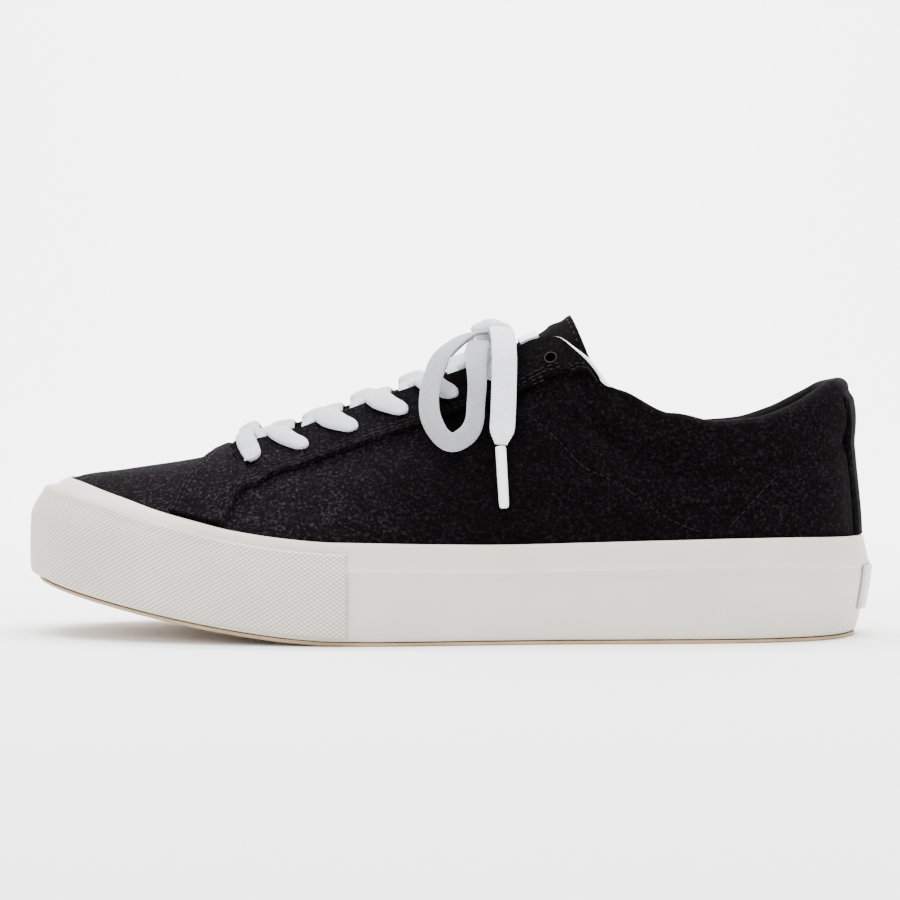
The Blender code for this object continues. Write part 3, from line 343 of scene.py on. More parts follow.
def bed_height(share):
    """Top of the sole inside the foxing."""
    return floor_line(share) + SOLE["bed"](np.arccos(1 - 2 * share)) * SOLE_HEIGHT


LEG_HEIGHTS = np.array((0.0, 0.25, 0.50, 0.70, 0.86, 1.0))


def leg(turn, depth):
    """The upper inside the foxing, from the foot bed to the lip: five points for each turn."""
    turn = np.asarray(turn, dtype=float)
    walls = foxing_walls(LEG_HEIGHTS) + SEAT_GAP + depth
    profile = side_profile(turn, LEG_HEIGHTS)
    run = np.empty_like(profile)
    run[:, 1:-1] = profile[:, 2:] - profile[:, :-2]
    run[:, 0] = profile[:, 1] - profile[:, 0]
    run[:, -1] = profile[:, -1] - profile[:, -2]
    size = np.linalg.norm(run, axis=-1, keepdims=True)
    inner = profile + np.stack((run[..., 1], -run[..., 0]), -1) / size * walls[None, :, None]
    low = bed_height(share_at(turn)) + GAP
    rows = []
    for index in range(len(turn)):
        levels, insets = inner[index, :, 1], inner[index, :, 0]
        middle = (low[index] + levels[3]) / 2
        rows.append([(np.interp(low[index], levels, insets), low[index]),
                     (np.interp(middle, levels, insets), middle),
                     inner[index, 3], inner[index, 4], inner[index, 5]])
    return placed(turn, np.array(rows))


def rim_height(reach):
    """Height of the rounded edge over a rib's top."""
    return 0.42 * (UPPER_WALL + (COLLAR_PAD - UPPER_WALL) * RIB["pad"](reach))


def rib_top(turn):
    """Outer top of ribs."""
    reach, side = reach_of(turn), side_sign(turn)
    crest = (RIB["toe"](reach) * TOE_HEIGHT + RIB["instep"](reach) * INSTEP_HEIGHT
             + RIB["collar"](reach) * COLLAR_HEIGHT + side * RIB["tilt"](reach) * TOE_HEIGHT)
    drop = rim_height(reach) * np.cos(np.radians(RIB["top_lean"](reach)))
    middle = RIB["centre"](reach) * BALL_WIDTH + SHIFT
    half = RIB["half"](reach) * BALL_WIDTH
    return np.stack((-LENGTH / 2 + RIB["top"](reach) * LENGTH, middle + side * half,
                     crest - drop), -1)


def top_directions(turn):
    """Along the top line, level across it towards the inside, and up square to both."""
    step = 0.012
    reach, side = reach_of(turn), side_sign(turn)
    along = unit(rib_top(side * np.minimum(math.pi - 1e-9, reach + step))
                 - rib_top(side * np.maximum(1e-4, reach - step)))
    across = np.stack((-along[..., 1], along[..., 0], np.zeros_like(reach)), -1)
    across = np.where((across[..., 1] * side > 0)[..., None], -across, across)
    heel = (reach > math.pi - 1e-3)[..., None]
    across = unit(np.where(heel, np.array((-1.0, 0.0, 0.0)), across))
    along = np.where(heel, np.array((0.0, 1.0, 0.0)), along)
    upward = unit(np.cross(along, across))
    return along, across, np.where(upward[..., 2:] > 0, upward, -upward)


def rib_curves(turn):
    """Four control points of each rib."""
    turn = np.asarray(turn, dtype=float)
    reach, side, share = reach_of(turn), side_sign(turn), share_at(turn)
    foot = leg(turn, 0.0)[:, -1]
    _, inward = outline(turn)
    top = rib_top(turn)
    chord = np.linalg.norm(top - foot, axis=-1, keepdims=True)
    low_lean = np.radians(RIB["low_lean"](reach))[:, None]
    top_lean = np.radians(RIB["top_lean"](reach))[:, None]
    low = np.concatenate((inward * np.sin(low_lean), np.cos(low_lean)), -1)
    _, across, upward = top_directions(turn)
    to_collar = smooth((share - 0.64) / 0.12)[:, None]
    sideways = np.stack((np.zeros_like(side), -side, np.zeros_like(side)), -1)
    across = unit(across * to_collar + sideways * (1 - to_collar))
    upward = unit(upward * to_collar + THROAT_UP * (1 - to_collar))
    reaching = unit(np.stack((top[:, 0] - foot[:, 0], top[:, 1] - foot[:, 1],
                              np.zeros_like(side)), -1))
    reaching[:, 2] += RIDGE_SLOPE * reaching[:, 0]
    reaching = unit(reaching)
    to_throat = smooth((share - 0.20) / 0.10)[:, None]
    level = unit(across * to_throat + reaching * (1 - to_throat))
    high = unit(level * np.sin(top_lean) + upward * np.cos(top_lean))
    low_pull = RIB["low_pull"](reach)[:, None]
    top_pull = RIB["top_pull"](reach)[:, None]
    return np.stack((foot, foot + low * chord * low_pull, top - high * chord * top_pull, top), 1)


DENSE = 1400
DENSE_TURNS = np.linspace(1e-4, math.pi - 1e-4, DENSE)
RIBS = {side: rib_curves(side * DENSE_TURNS) for side in (-1, 1)}
CHORDS = {side: np.linalg.norm(RIBS[side][:, 3] - RIBS[side][:, 0], axis=-1) for side in (-1, 1)}


def controls(side, reach):
    """Control points of one side's ribs at any turns."""
    place = np.clip((reach - DENSE_TURNS[0]) / (DENSE_TURNS[1] - DENSE_TURNS[0]), 0, DENSE - 1.001)
    index = place.astype(int)
    part = (place - index)[..., None, None]
    return RIBS[side][index] * (1 - part) + RIBS[side][index + 1] * part


def bare(side, reach, height):
    """Upper's face without padding, at arrays of turns and heights."""
    points = controls(side, reach)
    h = np.asarray(height)[..., None]
    r = 1 - h
    return (points[..., 0, :] * r ** 3 + 3 * points[..., 1, :] * r ** 2 * h
            + 3 * points[..., 2, :] * r * h ** 2 + points[..., 3, :] * h ** 3)


def face_normal(side, reach, height):
    """Outward normals of the upper."""
    reach, height = np.broadcast_arrays(np.asarray(reach, float), np.asarray(height, float))
    step = 4e-3
    low, high = np.clip(height - 0.01, 0, 1), np.clip(height + 0.01, 0, 1)
    middle = np.clip(reach, 2 * step, math.pi - 2 * step)
    ahead, behind = middle + step, middle - step
    along = bare(side, ahead, height) - bare(side, behind, height)
    rise = bare(side, reach, high) - bare(side, reach, low)
    normal = unit(np.cross(rise, along)) * side
    ridge = (height > 0.999) & (reach <= angle_of(THROAT_FRONT) + 1e-6)
    return np.where(ridge[..., None], unit(np.array((-RIDGE_SLOPE, 0.0, 1.0))), normal)


def chord_at(side, reach):
    """Straight length of the ribs at turns."""
    return np.interp(reach, DENSE_TURNS, CHORDS[side])


def padding(side, reach, height):
    """How far the padded collar stands proud."""
    share = share_at(reach)
    depth = (1 - height) * chord_at(side, reach) / (CREASE["depth"](share) * COLLAR_HEIGHT)
    weight = smooth((share - 0.68) / 0.10)
    bulge = np.sin(math.pi * np.clip(depth, 0, 1)) ** 1.3
    return PAD_PROUD * weight * bulge


def wall_at(reach, height):
    """Thickness of the upper with its padding."""
    pad = RIB["pad"](reach)
    return UPPER_WALL + (COLLAR_PAD - UPPER_WALL) * pad * smooth((height - 0.40) / 0.48)


# Soft creases and swells of the suede: share of the length, share of the height, half length in
# shares, half height, depth in millimetres (positive stands proud) and slant.
CREASES = (
    (0.500, 0.30, 0.110, 0.10, 0.35, 0.9),
    (0.560, 0.46, 0.080, 0.06, -0.30, 1.2),
    (0.340, 0.26, 0.060, 0.10, -0.30, -1.0),
    (0.400, 0.42, 0.070, 0.09, 0.30, -0.6),
    (0.700, 0.30, 0.100, 0.08, 0.30, -1.4),
    (0.780, 0.42, 0.060, 0.05, -0.35, 0.5),
    (0.860, 0.30, 0.060, 0.09, -0.25, 1.0),
    (0.930, 0.45, 0.050, 0.06, 0.25, -0.6),
    (0.100, 0.60, 0.050, 0.16, 0.25, 0.3),
    (0.150, 0.40, 0.030, 0.10, -0.20, 0.8),
)

# Lines on the side seen: shares of the length and of the height.
COLLAR_FOLD = ((0.650, 0.650), (0.667, 0.550), (0.727, 0.550), (0.760, 0.550), (0.790, 0.525),
               (0.830, 0.575), (0.867, 0.625), (0.910, 0.625), (0.940, 0.650), (0.997, 0.650))
VAMP_ROW = ((0.307, 0.50), (0.330, 0.375), (0.350, 0.275), (0.367, 0.20), (0.383, 0.10),
            (0.410, 0.05), (0.427, 0.0))
QUARTER_ROW = ((0.613, 0.625), (0.630, 0.525), (0.640, 0.45), (0.653, 0.375), (0.667, 0.30),
               (0.713, 0.275), (0.740, 0.175), (0.763, 0.10), (0.793, 0.05))
HEEL_ROW = ((0.893, 0.525), (0.867, 0.375), (0.847, 0.25), (0.827, 0.125))
# Lines pressed into the upper: places, half width and depth in millimetres.
GROOVES = (
    (COLLAR_FOLD, 3.4, 1.15),
    (VAMP_ROW, 1.3, 0.30),
    (QUARTER_ROW, 1.3, 0.30),
    (HEEL_ROW, 1.3, 0.30),
)


def groove_depth(side, reach, height, line, half_width):
    """How deep in a groove each place lies, from 0 outside it to 1 on its line."""
    tall = chord_at(side, reach)
    across, up = share_at(reach) * LENGTH, height * tall
    nearest = np.full(np.broadcast(across, up).shape, 1.0)
    for (share_a, height_a), (share_b, height_b) in zip(line[:-1], line[1:]):
        tall_a = chord_at(side, math.acos(1 - 2 * share_a))
        tall_b = chord_at(side, math.acos(1 - 2 * share_b))
        start = np.array((share_a * LENGTH, height_a * tall_a))
        run = np.array((share_b * LENGTH, height_b * tall_b)) - start
        part = np.clip(((across - start[0]) * run[0] + (up - start[1]) * run[1]) / (run @ run), 0, 1)
        gap = np.hypot(across - start[0] - part * run[0], up - start[1] - part * run[1])
        nearest = np.minimum(nearest, gap)
    return np.exp(-(nearest / (half_width * 1e-3)) ** 2)


def softness(side, reach, height):
    """Listed troughs and ridges of the upper."""
    share = share_at(reach)
    total = np.zeros(np.broadcast(share, height).shape)
    for line, half_width, depth in GROOVES:
        total = total - depth * 1e-3 * groove_depth(side, reach, height, line, half_width)
    for place, level, half, tall, depth, slant in CREASES:
        tilt = (share - place) / half
        rise = (height - level - slant * (share - place)) / tall
        total = total + depth * 1e-3 * np.exp(-tilt ** 2 - rise ** 2) * (1.0 if side < 0 else 0.8)
    return total * smooth(height / 0.06) * smooth((1 - height) / 0.10)


def upper_face(side, reach, height, depth=0.0, soft=True):
    """Point of the upper at a depth under its face, or over it for a negative depth."""
    reach, height = np.broadcast_arrays(np.asarray(reach, float), np.asarray(height, float))
    proud = padding(side, reach, height)
    if soft:
        proud = proud + softness(side, reach, height)
    return bare(side, reach, height) + face_normal(side, reach, height) * (proud - depth)[..., None]


def turn_at_top(place):
    """Turn of the rib whose top lies at a share of the shoe's length."""
    tops = RIB["top"](DENSE_TURNS)
    return float(np.interp(place, tops, DENSE_TURNS))


def eyelet_turn(number):
    """Turn of an eyelet's rib, numbered from 1 at the toe."""
    step = (EYELET_LAST - EYELET_FIRST) / (EYELET_COUNT - 1)
    return turn_at_top(EYELET_FIRST + (number - 1) * step)


def below_top(side, reach, distance):
    """Share of a rib's height at a distance from its top."""
    return 1 - distance / chord_at(side, reach)


# Meshes.
def linked(name, data):
    """An object at the origin, in the scene."""
    made = bpy.data.objects.new(name, data)
    bpy.context.scene.collection.objects.link(made)
    return made


def mesh_piece(name, points, faces, smooth_angle=50, uv=None):
    """An object at the origin from points and faces, welded and facing out."""
    mesh = bpy.data.meshes.new(name)
    mesh.from_pydata([tuple(map(float, point)) for point in points], [], faces)
    mesh.update()
    if uv is not None:
        layer = mesh.uv_layers.new(name="UVMap")
        corners = np.zeros(len(mesh.loops), dtype=int)
        mesh.loops.foreach_get("vertex_index", corners)
        layer.data.foreach_set("uv", np.asarray(uv, dtype=float)[corners].ravel())
    shape = bmesh.new()
    shape.from_mesh(mesh)
    bmesh.ops.remove_doubles(shape, verts=shape.verts, dist=2e-6)
    bmesh.ops.recalc_face_normals(shape, faces=shape.faces)
    shape.to_mesh(mesh)
    shape.free()
    mesh.shade_smooth()
    mesh.set_sharp_from_angle(angle=math.radians(smooth_angle))
    return linked(name, mesh)


def grid_faces(count, rows, start, closed):
    """Four-sided faces over a grid of points."""
    faces = []
    for column in range(count if closed else count - 1):
        after = (column + 1) % count
        for row in range(rows - 1):
            faces.append((start + column * rows + row, start + after * rows + row,
                          start + after * rows + row + 1, start + column * rows + row + 1))
    return faces


def grid_uv(grid):
    """Lengths in metres along and across a grid, as its map."""
    grid = np.asarray(grid)
    middle = grid.shape[1] // 2
    along = np.concatenate(([0.0], np.cumsum(
        np.linalg.norm(np.diff(grid[:, middle], axis=0), axis=-1))))
    across = np.concatenate((np.zeros((grid.shape[0], 1)), np.cumsum(
        np.linalg.norm(np.diff(grid, axis=1), axis=-1), axis=1)), 1)
    across = across - across[:, middle:middle + 1]
    return np.stack((np.broadcast_to(along[:, None], across.shape), across), -1)


def slab(name, outer, inner, closed=False, smooth_angle=50):
    """A closed solid between two grids of points."""
    outer, inner = np.asarray(outer), np.asarray(inner)
    count, rows = outer.shape[:2]
    points = np.concatenate((outer.reshape(-1, 3), inner.reshape(-1, 3)))
    uv = grid_uv(outer).reshape(-1, 2)
    uv = np.concatenate((uv, uv))
    base = count * rows
    faces = grid_faces(count, rows, 0, closed) + grid_faces(count, rows, base, closed)
    for column in range(count if closed else count - 1):
        after = (column + 1) % count
        for row in (0, rows - 1):
            faces.append((column * rows + row, after * rows + row,
                          base + after * rows + row, base + column * rows + row))
    if not closed:
        for column in (0, count - 1):
            for row in range(rows - 1):
                faces.append((column * rows + row, column * rows + row + 1,
                              base + column * rows + row + 1, base + column * rows + row))
    return mesh_piece(name, points, faces, smooth_angle, uv)


def from_ends(count):
    """How many places each of a row's places lies from the nearer end."""
    return np.minimum(np.arange(count), np.arange(count)[::-1])


def rolled(part):
    """Height of a rounded edge, from 0 at its rim to 1 at a part of 1 and over."""
    return np.sqrt(1 - (1 - np.clip(part, 0, 1)) ** 2)


def grid_normals(grid):
    """Normals of a grid of points."""
    grid = np.asarray(grid)
    return unit(np.cross(np.gradient(grid, axis=0), np.gradient(grid, axis=1)))


def pillow(name, grid, thickness, edge, above):
    """A thin piece on a grid of points with rounded edges; its underside is the grid."""
    grid = np.asarray(grid)
    normals = grid_normals(grid)
    if float(np.mean(np.sum(normals * above, -1))) < 0:
        normals = -normals
    height = thickness * (0.35 + 0.65 * rolled(from_ends(grid.shape[1]) / (grid.shape[1] - 1) / edge))
    return slab(name, grid + normals * height[None, :, None], grid)


# Materials.
MM = 0.001
NOISE, RAMP, MIX = "ShaderNodeTexNoise", "ShaderNodeValToRGB", "ShaderNodeMix"
MATH, BUMP, SPLIT = "ShaderNodeMath", "ShaderNodeBump", "ShaderNodeSeparateXYZ"
DIAMOND_PITCH = 0.0021
DIAMOND_SLOPE = 1.45
RIB_PITCH = 0.00075
RIB_SLOPE = 0.9


def linear(code):
    """Linear colour of an sRGB hex value."""
    values = [int(code[index:index + 2], 16) / 255 for index in (0, 2, 4)]
    return tuple(value / 12.92 if value <= 0.04045 else ((value + 0.055) / 1.055) ** 2.4
                 for value in values) + (1.0,)


def node(tree, kind, settings=None, inputs=None, stops=()):
    """Adds a node with its settings, its inputs (sockets are linked) and its colour stops."""
    made = tree.nodes.new(kind)
    for name, value in (settings or {}).items():
        setattr(made, name, value)
    for target, value in (inputs or {}).items():
        if isinstance(value, bpy.types.NodeSocket):
            tree.links.new(value, made.inputs[target])
        else:
            made.inputs[target].default_value = value
    while stops and len(made.color_ramp.elements) < len(stops):
        made.color_ramp.elements.new(0.5)
    for index, (place, code) in enumerate(stops):
        made.color_ramp.elements[index].position = place
        made.color_ramp.elements[index].color = linear(code)
    return made


def per_metre(size_mm):
    """Scale of a pattern whose grain is some millimetres."""
    return 1000.0 / size_mm


def blank(name, roughness, ior=1.5, **shader_values):
    """A material with its node tree, its shader and the place on the shoe in metres."""
    material = bpy.data.materials.new(name)
    material.use_nodes = True
    tree = material.node_tree
    shader = tree.nodes["Principled BSDF"]
    for key, value in dict(shader_values, Roughness=roughness, IOR=ior).items():
        shader.inputs[key.replace("_", " ")].default_value = value
    return material, tree, shader, node(tree, "ShaderNodeTexCoord").outputs["Object"]


def suede(name, dark, middle, light):
    """Split leather, buffed: a short nap that scatters light softly and shows paler flecks."""
    material, tree, shader, where = blank(name, 0.95, 1.45, Specular_IOR_Level=0.04,
                                          Sheen_Weight=0.01, Sheen_Roughness=0.6,
                                          Sheen_Tint=linear("8a7f86"))
    flecks = node(tree, NOISE, {}, {"Vector": where, "Scale": per_metre(1.1), "Detail": 4.0,
                                    "Roughness": 0.78}).outputs["Fac"]
    patches = node(tree, NOISE, {}, {"Vector": where, "Scale": per_metre(9.0), "Detail": 3.0,
                                     "Roughness": 0.6, "Distortion": 0.6}).outputs["Fac"]
    both = node(tree, MIX, {"data_type": "FLOAT"}, {"Factor": 0.13, 2: flecks, 3: patches})
    colour = node(tree, RAMP, {}, {"Fac": both.outputs[0]},
                  ((0.40, dark), (0.53, middle), (0.64, light)))
    # Painted light and shade along the length: the colour is lightest at the toe, darkest over the
    # quarter and a little lighter again at the heel.
    parts = node(tree, SPLIT, {}, {0: where})
    along = node(tree, "ShaderNodeMapRange", {}, {"Value": parts.outputs["X"],
                                                  "From Min": -LENGTH / 2, "From Max": LENGTH / 2})
    fade = node(tree, RAMP, {}, {"Fac": along.outputs["Result"]},
                ((0.0, "ffffff"), (0.32, "f4f0f2"), (0.52, "8c8287"), (0.80, "9c9297"),
                 (1.0, "b9aeb3")))
    toned = node(tree, MIX, {"data_type": "RGBA", "blend_type": "MULTIPLY"},
                 {"Factor": 1.0, 6: colour.outputs["Color"], 7: fade.outputs["Color"]})
    nap = node(tree, BUMP, {}, {"Height": flecks, "Strength": 0.55, "Distance": 0.28 * MM})
    swell = node(tree, BUMP, {}, {"Height": patches, "Strength": 0.35, "Distance": 0.9 * MM,
                                  "Normal": nap.outputs["Normal"]})
    tree.links.new(toned.outputs[2], shader.inputs["Base Color"])
    tree.links.new(swell.outputs["Normal"], shader.inputs["Normal"])
    return material


def diamond_height(tree):
    """Height of fine raised diamonds, 2 mm apart, on a piece's own map."""
    uv = node(tree, "ShaderNodeUVMap", {"uv_map": "UVMap"})
    parts = node(tree, SPLIT, {}, {0: uv.outputs["UV"]})
    raised = []
    for slope in (DIAMOND_SLOPE, -DIAMOND_SLOPE):
        leaning = node(tree, MATH, {"operation": "MULTIPLY_ADD"},
                       {0: parts.outputs["Y"], 1: slope, 2: parts.outputs["X"]})
        turned = node(tree, MATH, {"operation": "MULTIPLY"},
                      {0: leaning.outputs[0], 1: math.pi / DIAMOND_PITCH})
        wave = node(tree, MATH, {"operation": "SINE"}, {0: turned.outputs[0]})
        raised.append(node(tree, MATH, {"operation": "ABSOLUTE"}, {0: wave.outputs[0]}).outputs[0])
    return node(tree, MATH, {"operation": "MINIMUM"}, {0: raised[0], 1: raised[1]}).outputs[0]


def rubber(name, code, shade, roughness, grain=0.08, crosshatched=False):
    """Vulcanised rubber: a dense off-white with a soft even gloss and faint specks."""
    material, tree, shader, where = blank(name, roughness, Specular_IOR_Level=0.45,
                                          Subsurface_Weight=0.06, Subsurface_Scale=0.002)
    cloud = node(tree, NOISE, {}, {"Vector": where, "Scale": per_metre(22.0), "Detail": 3.0,
                                   "Roughness": 0.55})
    speck = node(tree, NOISE, {}, {"Vector": where, "Scale": per_metre(1.6), "Detail": 2.0,
                                   "Roughness": 0.8})
    tone = node(tree, RAMP, {}, {"Fac": cloud.outputs["Fac"]}, ((0.35, shade), (0.65, code)))
    spots = node(tree, RAMP, {}, {"Fac": speck.outputs["Fac"]}, ((0.205, "6f6a66"), (0.235, "ffffff")))
    colour = node(tree, MIX, {"data_type": "RGBA", "blend_type": "MULTIPLY"},
                  {"Factor": 0.6, 6: tone.outputs["Color"], 7: spots.outputs["Color"]})
    fine = node(tree, NOISE, {}, {"Vector": where, "Scale": per_metre(0.6), "Detail": 2.0,
                                  "Roughness": 0.55})
    skin = node(tree, BUMP, {}, {"Height": fine.outputs["Fac"], "Strength": 0.25,
                                 "Distance": grain * MM})
    if crosshatched:
        height = diamond_height(tree)
        # The grooves between the diamonds hold a little shade and dust.
        grooves = node(tree, RAMP, {}, {"Fac": height}, ((0.0, "9a948f"), (0.55, "ffffff")))
        colour = node(tree, MIX, {"data_type": "RGBA", "blend_type": "MULTIPLY"},
                      {"Factor": 1.0, 6: colour.outputs[2], 7: grooves.outputs["Color"]})
        skin = node(tree, BUMP, {}, {"Height": height, "Strength": 0.7, "Distance": 0.35 * MM,
                                     "Normal": skin.outputs["Normal"]})
    tree.links.new(colour.outputs[2], shader.inputs["Base Color"])
    tree.links.new(skin.outputs["Normal"], shader.inputs["Normal"])
    return material


def cotton_lace(name, low, middle, high):
    """Flat woven cotton: a fine herringbone of bright, slightly bluish thread, 0.75 mm a rib."""
    material, tree, shader, where = blank(name, 0.88, 1.47, Specular_IOR_Level=0.25,
                                          Sheen_Weight=0.25, Sheen_Roughness=0.5,
                                          Subsurface_Weight=0.12, Subsurface_Scale=0.0015)
    uv = node(tree, "ShaderNodeUVMap", {"uv_map": "UVMap"})
    parts = node(tree, SPLIT, {}, {0: uv.outputs["UV"]})
    fold = node(tree, MATH, {"operation": "ABSOLUTE"}, {0: parts.outputs["Y"]})
    slant = node(tree, MATH, {"operation": "MULTIPLY_ADD"},
                 {0: fold.outputs[0], 1: RIB_SLOPE, 2: parts.outputs["X"]})
    rib = node(tree, MATH, {"operation": "MULTIPLY"}, {0: slant.outputs[0], 1: 2 * math.pi / RIB_PITCH})
    wave = node(tree, MATH, {"operation": "SINE"}, {0: rib.outputs[0]})
    fuzz = node(tree, NOISE, {}, {"Vector": where, "Scale": per_metre(0.5), "Detail": 3.0,
                                  "Roughness": 0.7})
    thread = node(tree, MATH, {"operation": "MULTIPLY_ADD"},
                  {0: wave.outputs[0], 1: 0.22, 2: fuzz.outputs["Fac"]})
    colour = node(tree, RAMP, {}, {"Fac": thread.outputs[0]}, ((0.25, low), (0.55, middle), (0.85, high)))
    raised = node(tree, BUMP, {}, {"Height": thread.outputs[0], "Strength": 0.9, "Distance": 0.5 * MM})
    tree.links.new(colour.outputs["Color"], shader.inputs["Base Color"])
    tree.links.new(raised.outputs["Normal"], shader.inputs["Normal"])
    return material


def woven(name, dark, light, pitch_mm, roughness=0.9, fuzz_sheen=0.15):
    """Plain textile: threads that cross at a small pitch."""
    material, tree, shader, where = blank(name, roughness, 1.47, Specular_IOR_Level=0.08,
                                          Sheen_Weight=fuzz_sheen, Sheen_Roughness=0.5)
    cells = node(tree, "ShaderNodeTexVoronoi", {"feature": "F1"},
                 {"Vector": where, "Scale": per_metre(pitch_mm)})
    fuzz = node(tree, NOISE, {}, {"Vector": where, "Scale": per_metre(0.7), "Detail": 3.0,
                                  "Roughness": 0.55})
    colour = node(tree, RAMP, {}, {"Fac": fuzz.outputs["Fac"]}, ((0.35, dark), (0.70, light)))
    threads = node(tree, BUMP, {}, {"Height": cells.outputs["Distance"], "Strength": 0.4,
                                    "Distance": 0.2 * MM})
    raised = node(tree, BUMP, {}, {"Height": fuzz.outputs["Fac"], "Strength": 0.3,
                                   "Distance": 0.15 * MM, "Normal": threads.outputs["Normal"]})
    tree.links.new(colour.outputs["Color"], shader.inputs["Base Color"])
    tree.links.new(raised.outputs["Normal"], shader.inputs["Normal"])
    return material


def plain(name, code, roughness, **values):
    """A finish of one even colour, on a piece too small to show a grain."""
    material, _, shader, _ = blank(name, roughness, **values)
    shader.inputs["Base Color"].default_value = linear(code)
    return material


# Suede soaks up light, so only its brushed flecks show; the quarter's copy is a little darker than the
# vamp's as painted shade.
VAMP_SUEDE = suede("buffed_suede_vamp", "020202", "0b090b", "2d282d")
QUARTER_SUEDE = suede("buffed_suede_quarter", "020102", "090708", "272327")
EYESTAY_SUEDE = suede("buffed_suede_eyestay", "020202", "0a080a", "2a262a")
TONGUE_CLOTH = suede("buffed_suede_tongue", "040304", "0d0a0c", "2b262a")
# Rubber that was cured on the shoe is smooth and a little glossy; moulded rubber is duller.
WHITE_RUBBER = rubber("vulcanised_rubber_white", "c2bbb0", "bcb5aa", 0.42)
BUMPER_RUBBER = rubber("moulded_rubber_bumper", "d2cabf", "cac2b7", 0.60, 0.05, True)
TREAD_RUBBER = rubber("vulcanised_rubber_tread", "a58c6c", "917a5c", 0.62)
# The lace's loops take a darker copy as painted shade and its free ends a lighter copy as painted light.
LACE_COTTON = cotton_lace("woven_cotton_lace", "a3a5ae", "d2d3d8", "eeeef2")
SHADED_LOOP_COTTON = cotton_lace("woven_cotton_lace_painted_shade", "7f8189", "a3a4a9", "bcbcbf")
LIT_END_COTTON = cotton_lace("woven_cotton_lace_painted_light", "c4c6cf", "ececf2", "fafafd")
# Linings are fine plain cloth: dark and brushed inside, white and bound at the throat's edge.
LINING_CLOTH = woven("brushed_textile_lining", "050405", "0f0d0f", 0.9, 0.95, 0.0)
WHITE_LINING = woven("white_cotton_lining", "dadada", "f1f1f1", 0.8)
INSOLE_CLOTH = woven("insole_textile", "b9b7b3", "d0ceca", 0.9)
LABEL_CLOTH = woven("bare_label_ribbon", "d8d9e4", "ececf4", 0.5, 0.7)
# Small parts: a glossy film tip, waxed thread with a faint glint, the punched holes' cut edges, and black
# discs of painted shade inside the holes.
AGLET_FILM = plain("polyester_film_white", "eeeef0", 0.28)
THREAD = plain("waxed_polyester_thread_black", "060506", 0.60, Specular_IOR_Level=0.12)
EDGE_SUEDE = plain("cut_suede_edge", "0e0c0e", 0.60, Specular_IOR_Level=0.2)
HOLE_SHADE = plain("punched_hole_painted_shade", "010101", 1.0, Specular_IOR_Level=0.0)
FLOOR_PAPER = plain("matt_white_paper", "f4f4f4", 0.9)


def dress(piece, material, replaced=()):
    """Give a piece its material, its ride, and the solids it stands for."""
    piece.data.materials.clear()
    piece.data.materials.append(material)
    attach(piece, "root")
    if replaced:
        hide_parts(*replaced)
    return piece


# Camera.
CAMERA_BACK = 0.85
CAMERA_HEIGHT = 0.080
FRAME_PIXELS = 900
METRES_PER_PIXEL = 0.000351
HORIZON_ROW = 404.3
IMAGE_MIDDLE = 449.0

view = bpy.data.cameras.new("photo_view")
view.sensor_width = 36.0
view.lens = 36.0 * CAMERA_BACK / (FRAME_PIXELS * METRES_PER_PIXEL)
view.shift_y = (HORIZON_ROW - FRAME_PIXELS / 2) / FRAME_PIXELS
view.clip_start = 0.05
camera = linked("photo_view", view)
camera.location = ((FRAME_PIXELS / 2 - IMAGE_MIDDLE) * METRES_PER_PIXEL, -CAMERA_BACK, CAMERA_HEIGHT)
camera.rotation_euler = (math.radians(90), 0.0, 0.0)
bpy.context.scene.camera = camera

# Laces.
CROSSING_TABLE = (
    ("across", "station", "lift", "half"),
    (-0.89, 0.265, -0.10, 0.19),
    (-0.42, 0.33, 0.00, 0.22),
    (0.00, 0.41, 0.55, 0.25),
    (0.42, 0.50, 0.10, 0.25),
    (0.74, 0.58, 0.90, 0.25),
    (1.00, 0.65, 0.40, 0.25),
    (1.14, 0.69, 0.35, 0.25),
    (1.45, 0.80, 0.10, 0.25),
    (1.75, 0.91, 0.12, 0.24),
    (2.00, 1.00, 0.08, 0.19),
    (2.14, 1.04, -0.10, 0.13),
    (2.20, 1.055, -0.30, 0.06),
)
BAR_TABLE = (
    ("across", "station", "lift", "half"),
    (-2.20, 1.08, -0.30, 0.06),
    (-2.12, 1.08, 0.00, 0.13),
    (-2.00, 1.07, 0.20, 0.17),
    (-1.70, 1.06, 0.40, 0.20),
    (-1.40, 1.05, 1.10, 0.21),
    (-1.14, 1.04, 2.00, 0.21),
    (-1.00, 1.04, 2.30, 0.21),
    (-0.76, 1.02, 2.80, 0.20),
    (-0.40, 1.00, 1.90, 0.18),
    (0.00, 0.99, 1.50, 0.18),
    (0.40, 1.00, 1.90, 0.18),
    (0.76, 1.02, 2.80, 0.20),
    (1.00, 1.04, 2.30, 0.21),
    (1.14, 1.04, 2.00, 0.21),
    (1.40, 1.05, 1.10, 0.21),
    (1.70, 1.06, 0.40, 0.20),
    (2.00, 1.07, 0.20, 0.17),
    (2.12, 1.08, 0.00, 0.13),
    (2.20, 1.08, -0.30, 0.06),
)
TOP_BAR_TABLE = (
    ("across", "station", "lift", "half"),
    (-0.74, 0.16, 0.00, 0.18),
    (-0.38, 0.13, 0.00, 0.20),
    (0.00, 0.11, 0.00, 0.20),
    (0.38, 0.13, 0.00, 0.20),
    (0.74, 0.16, 0.00, 0.18),
)
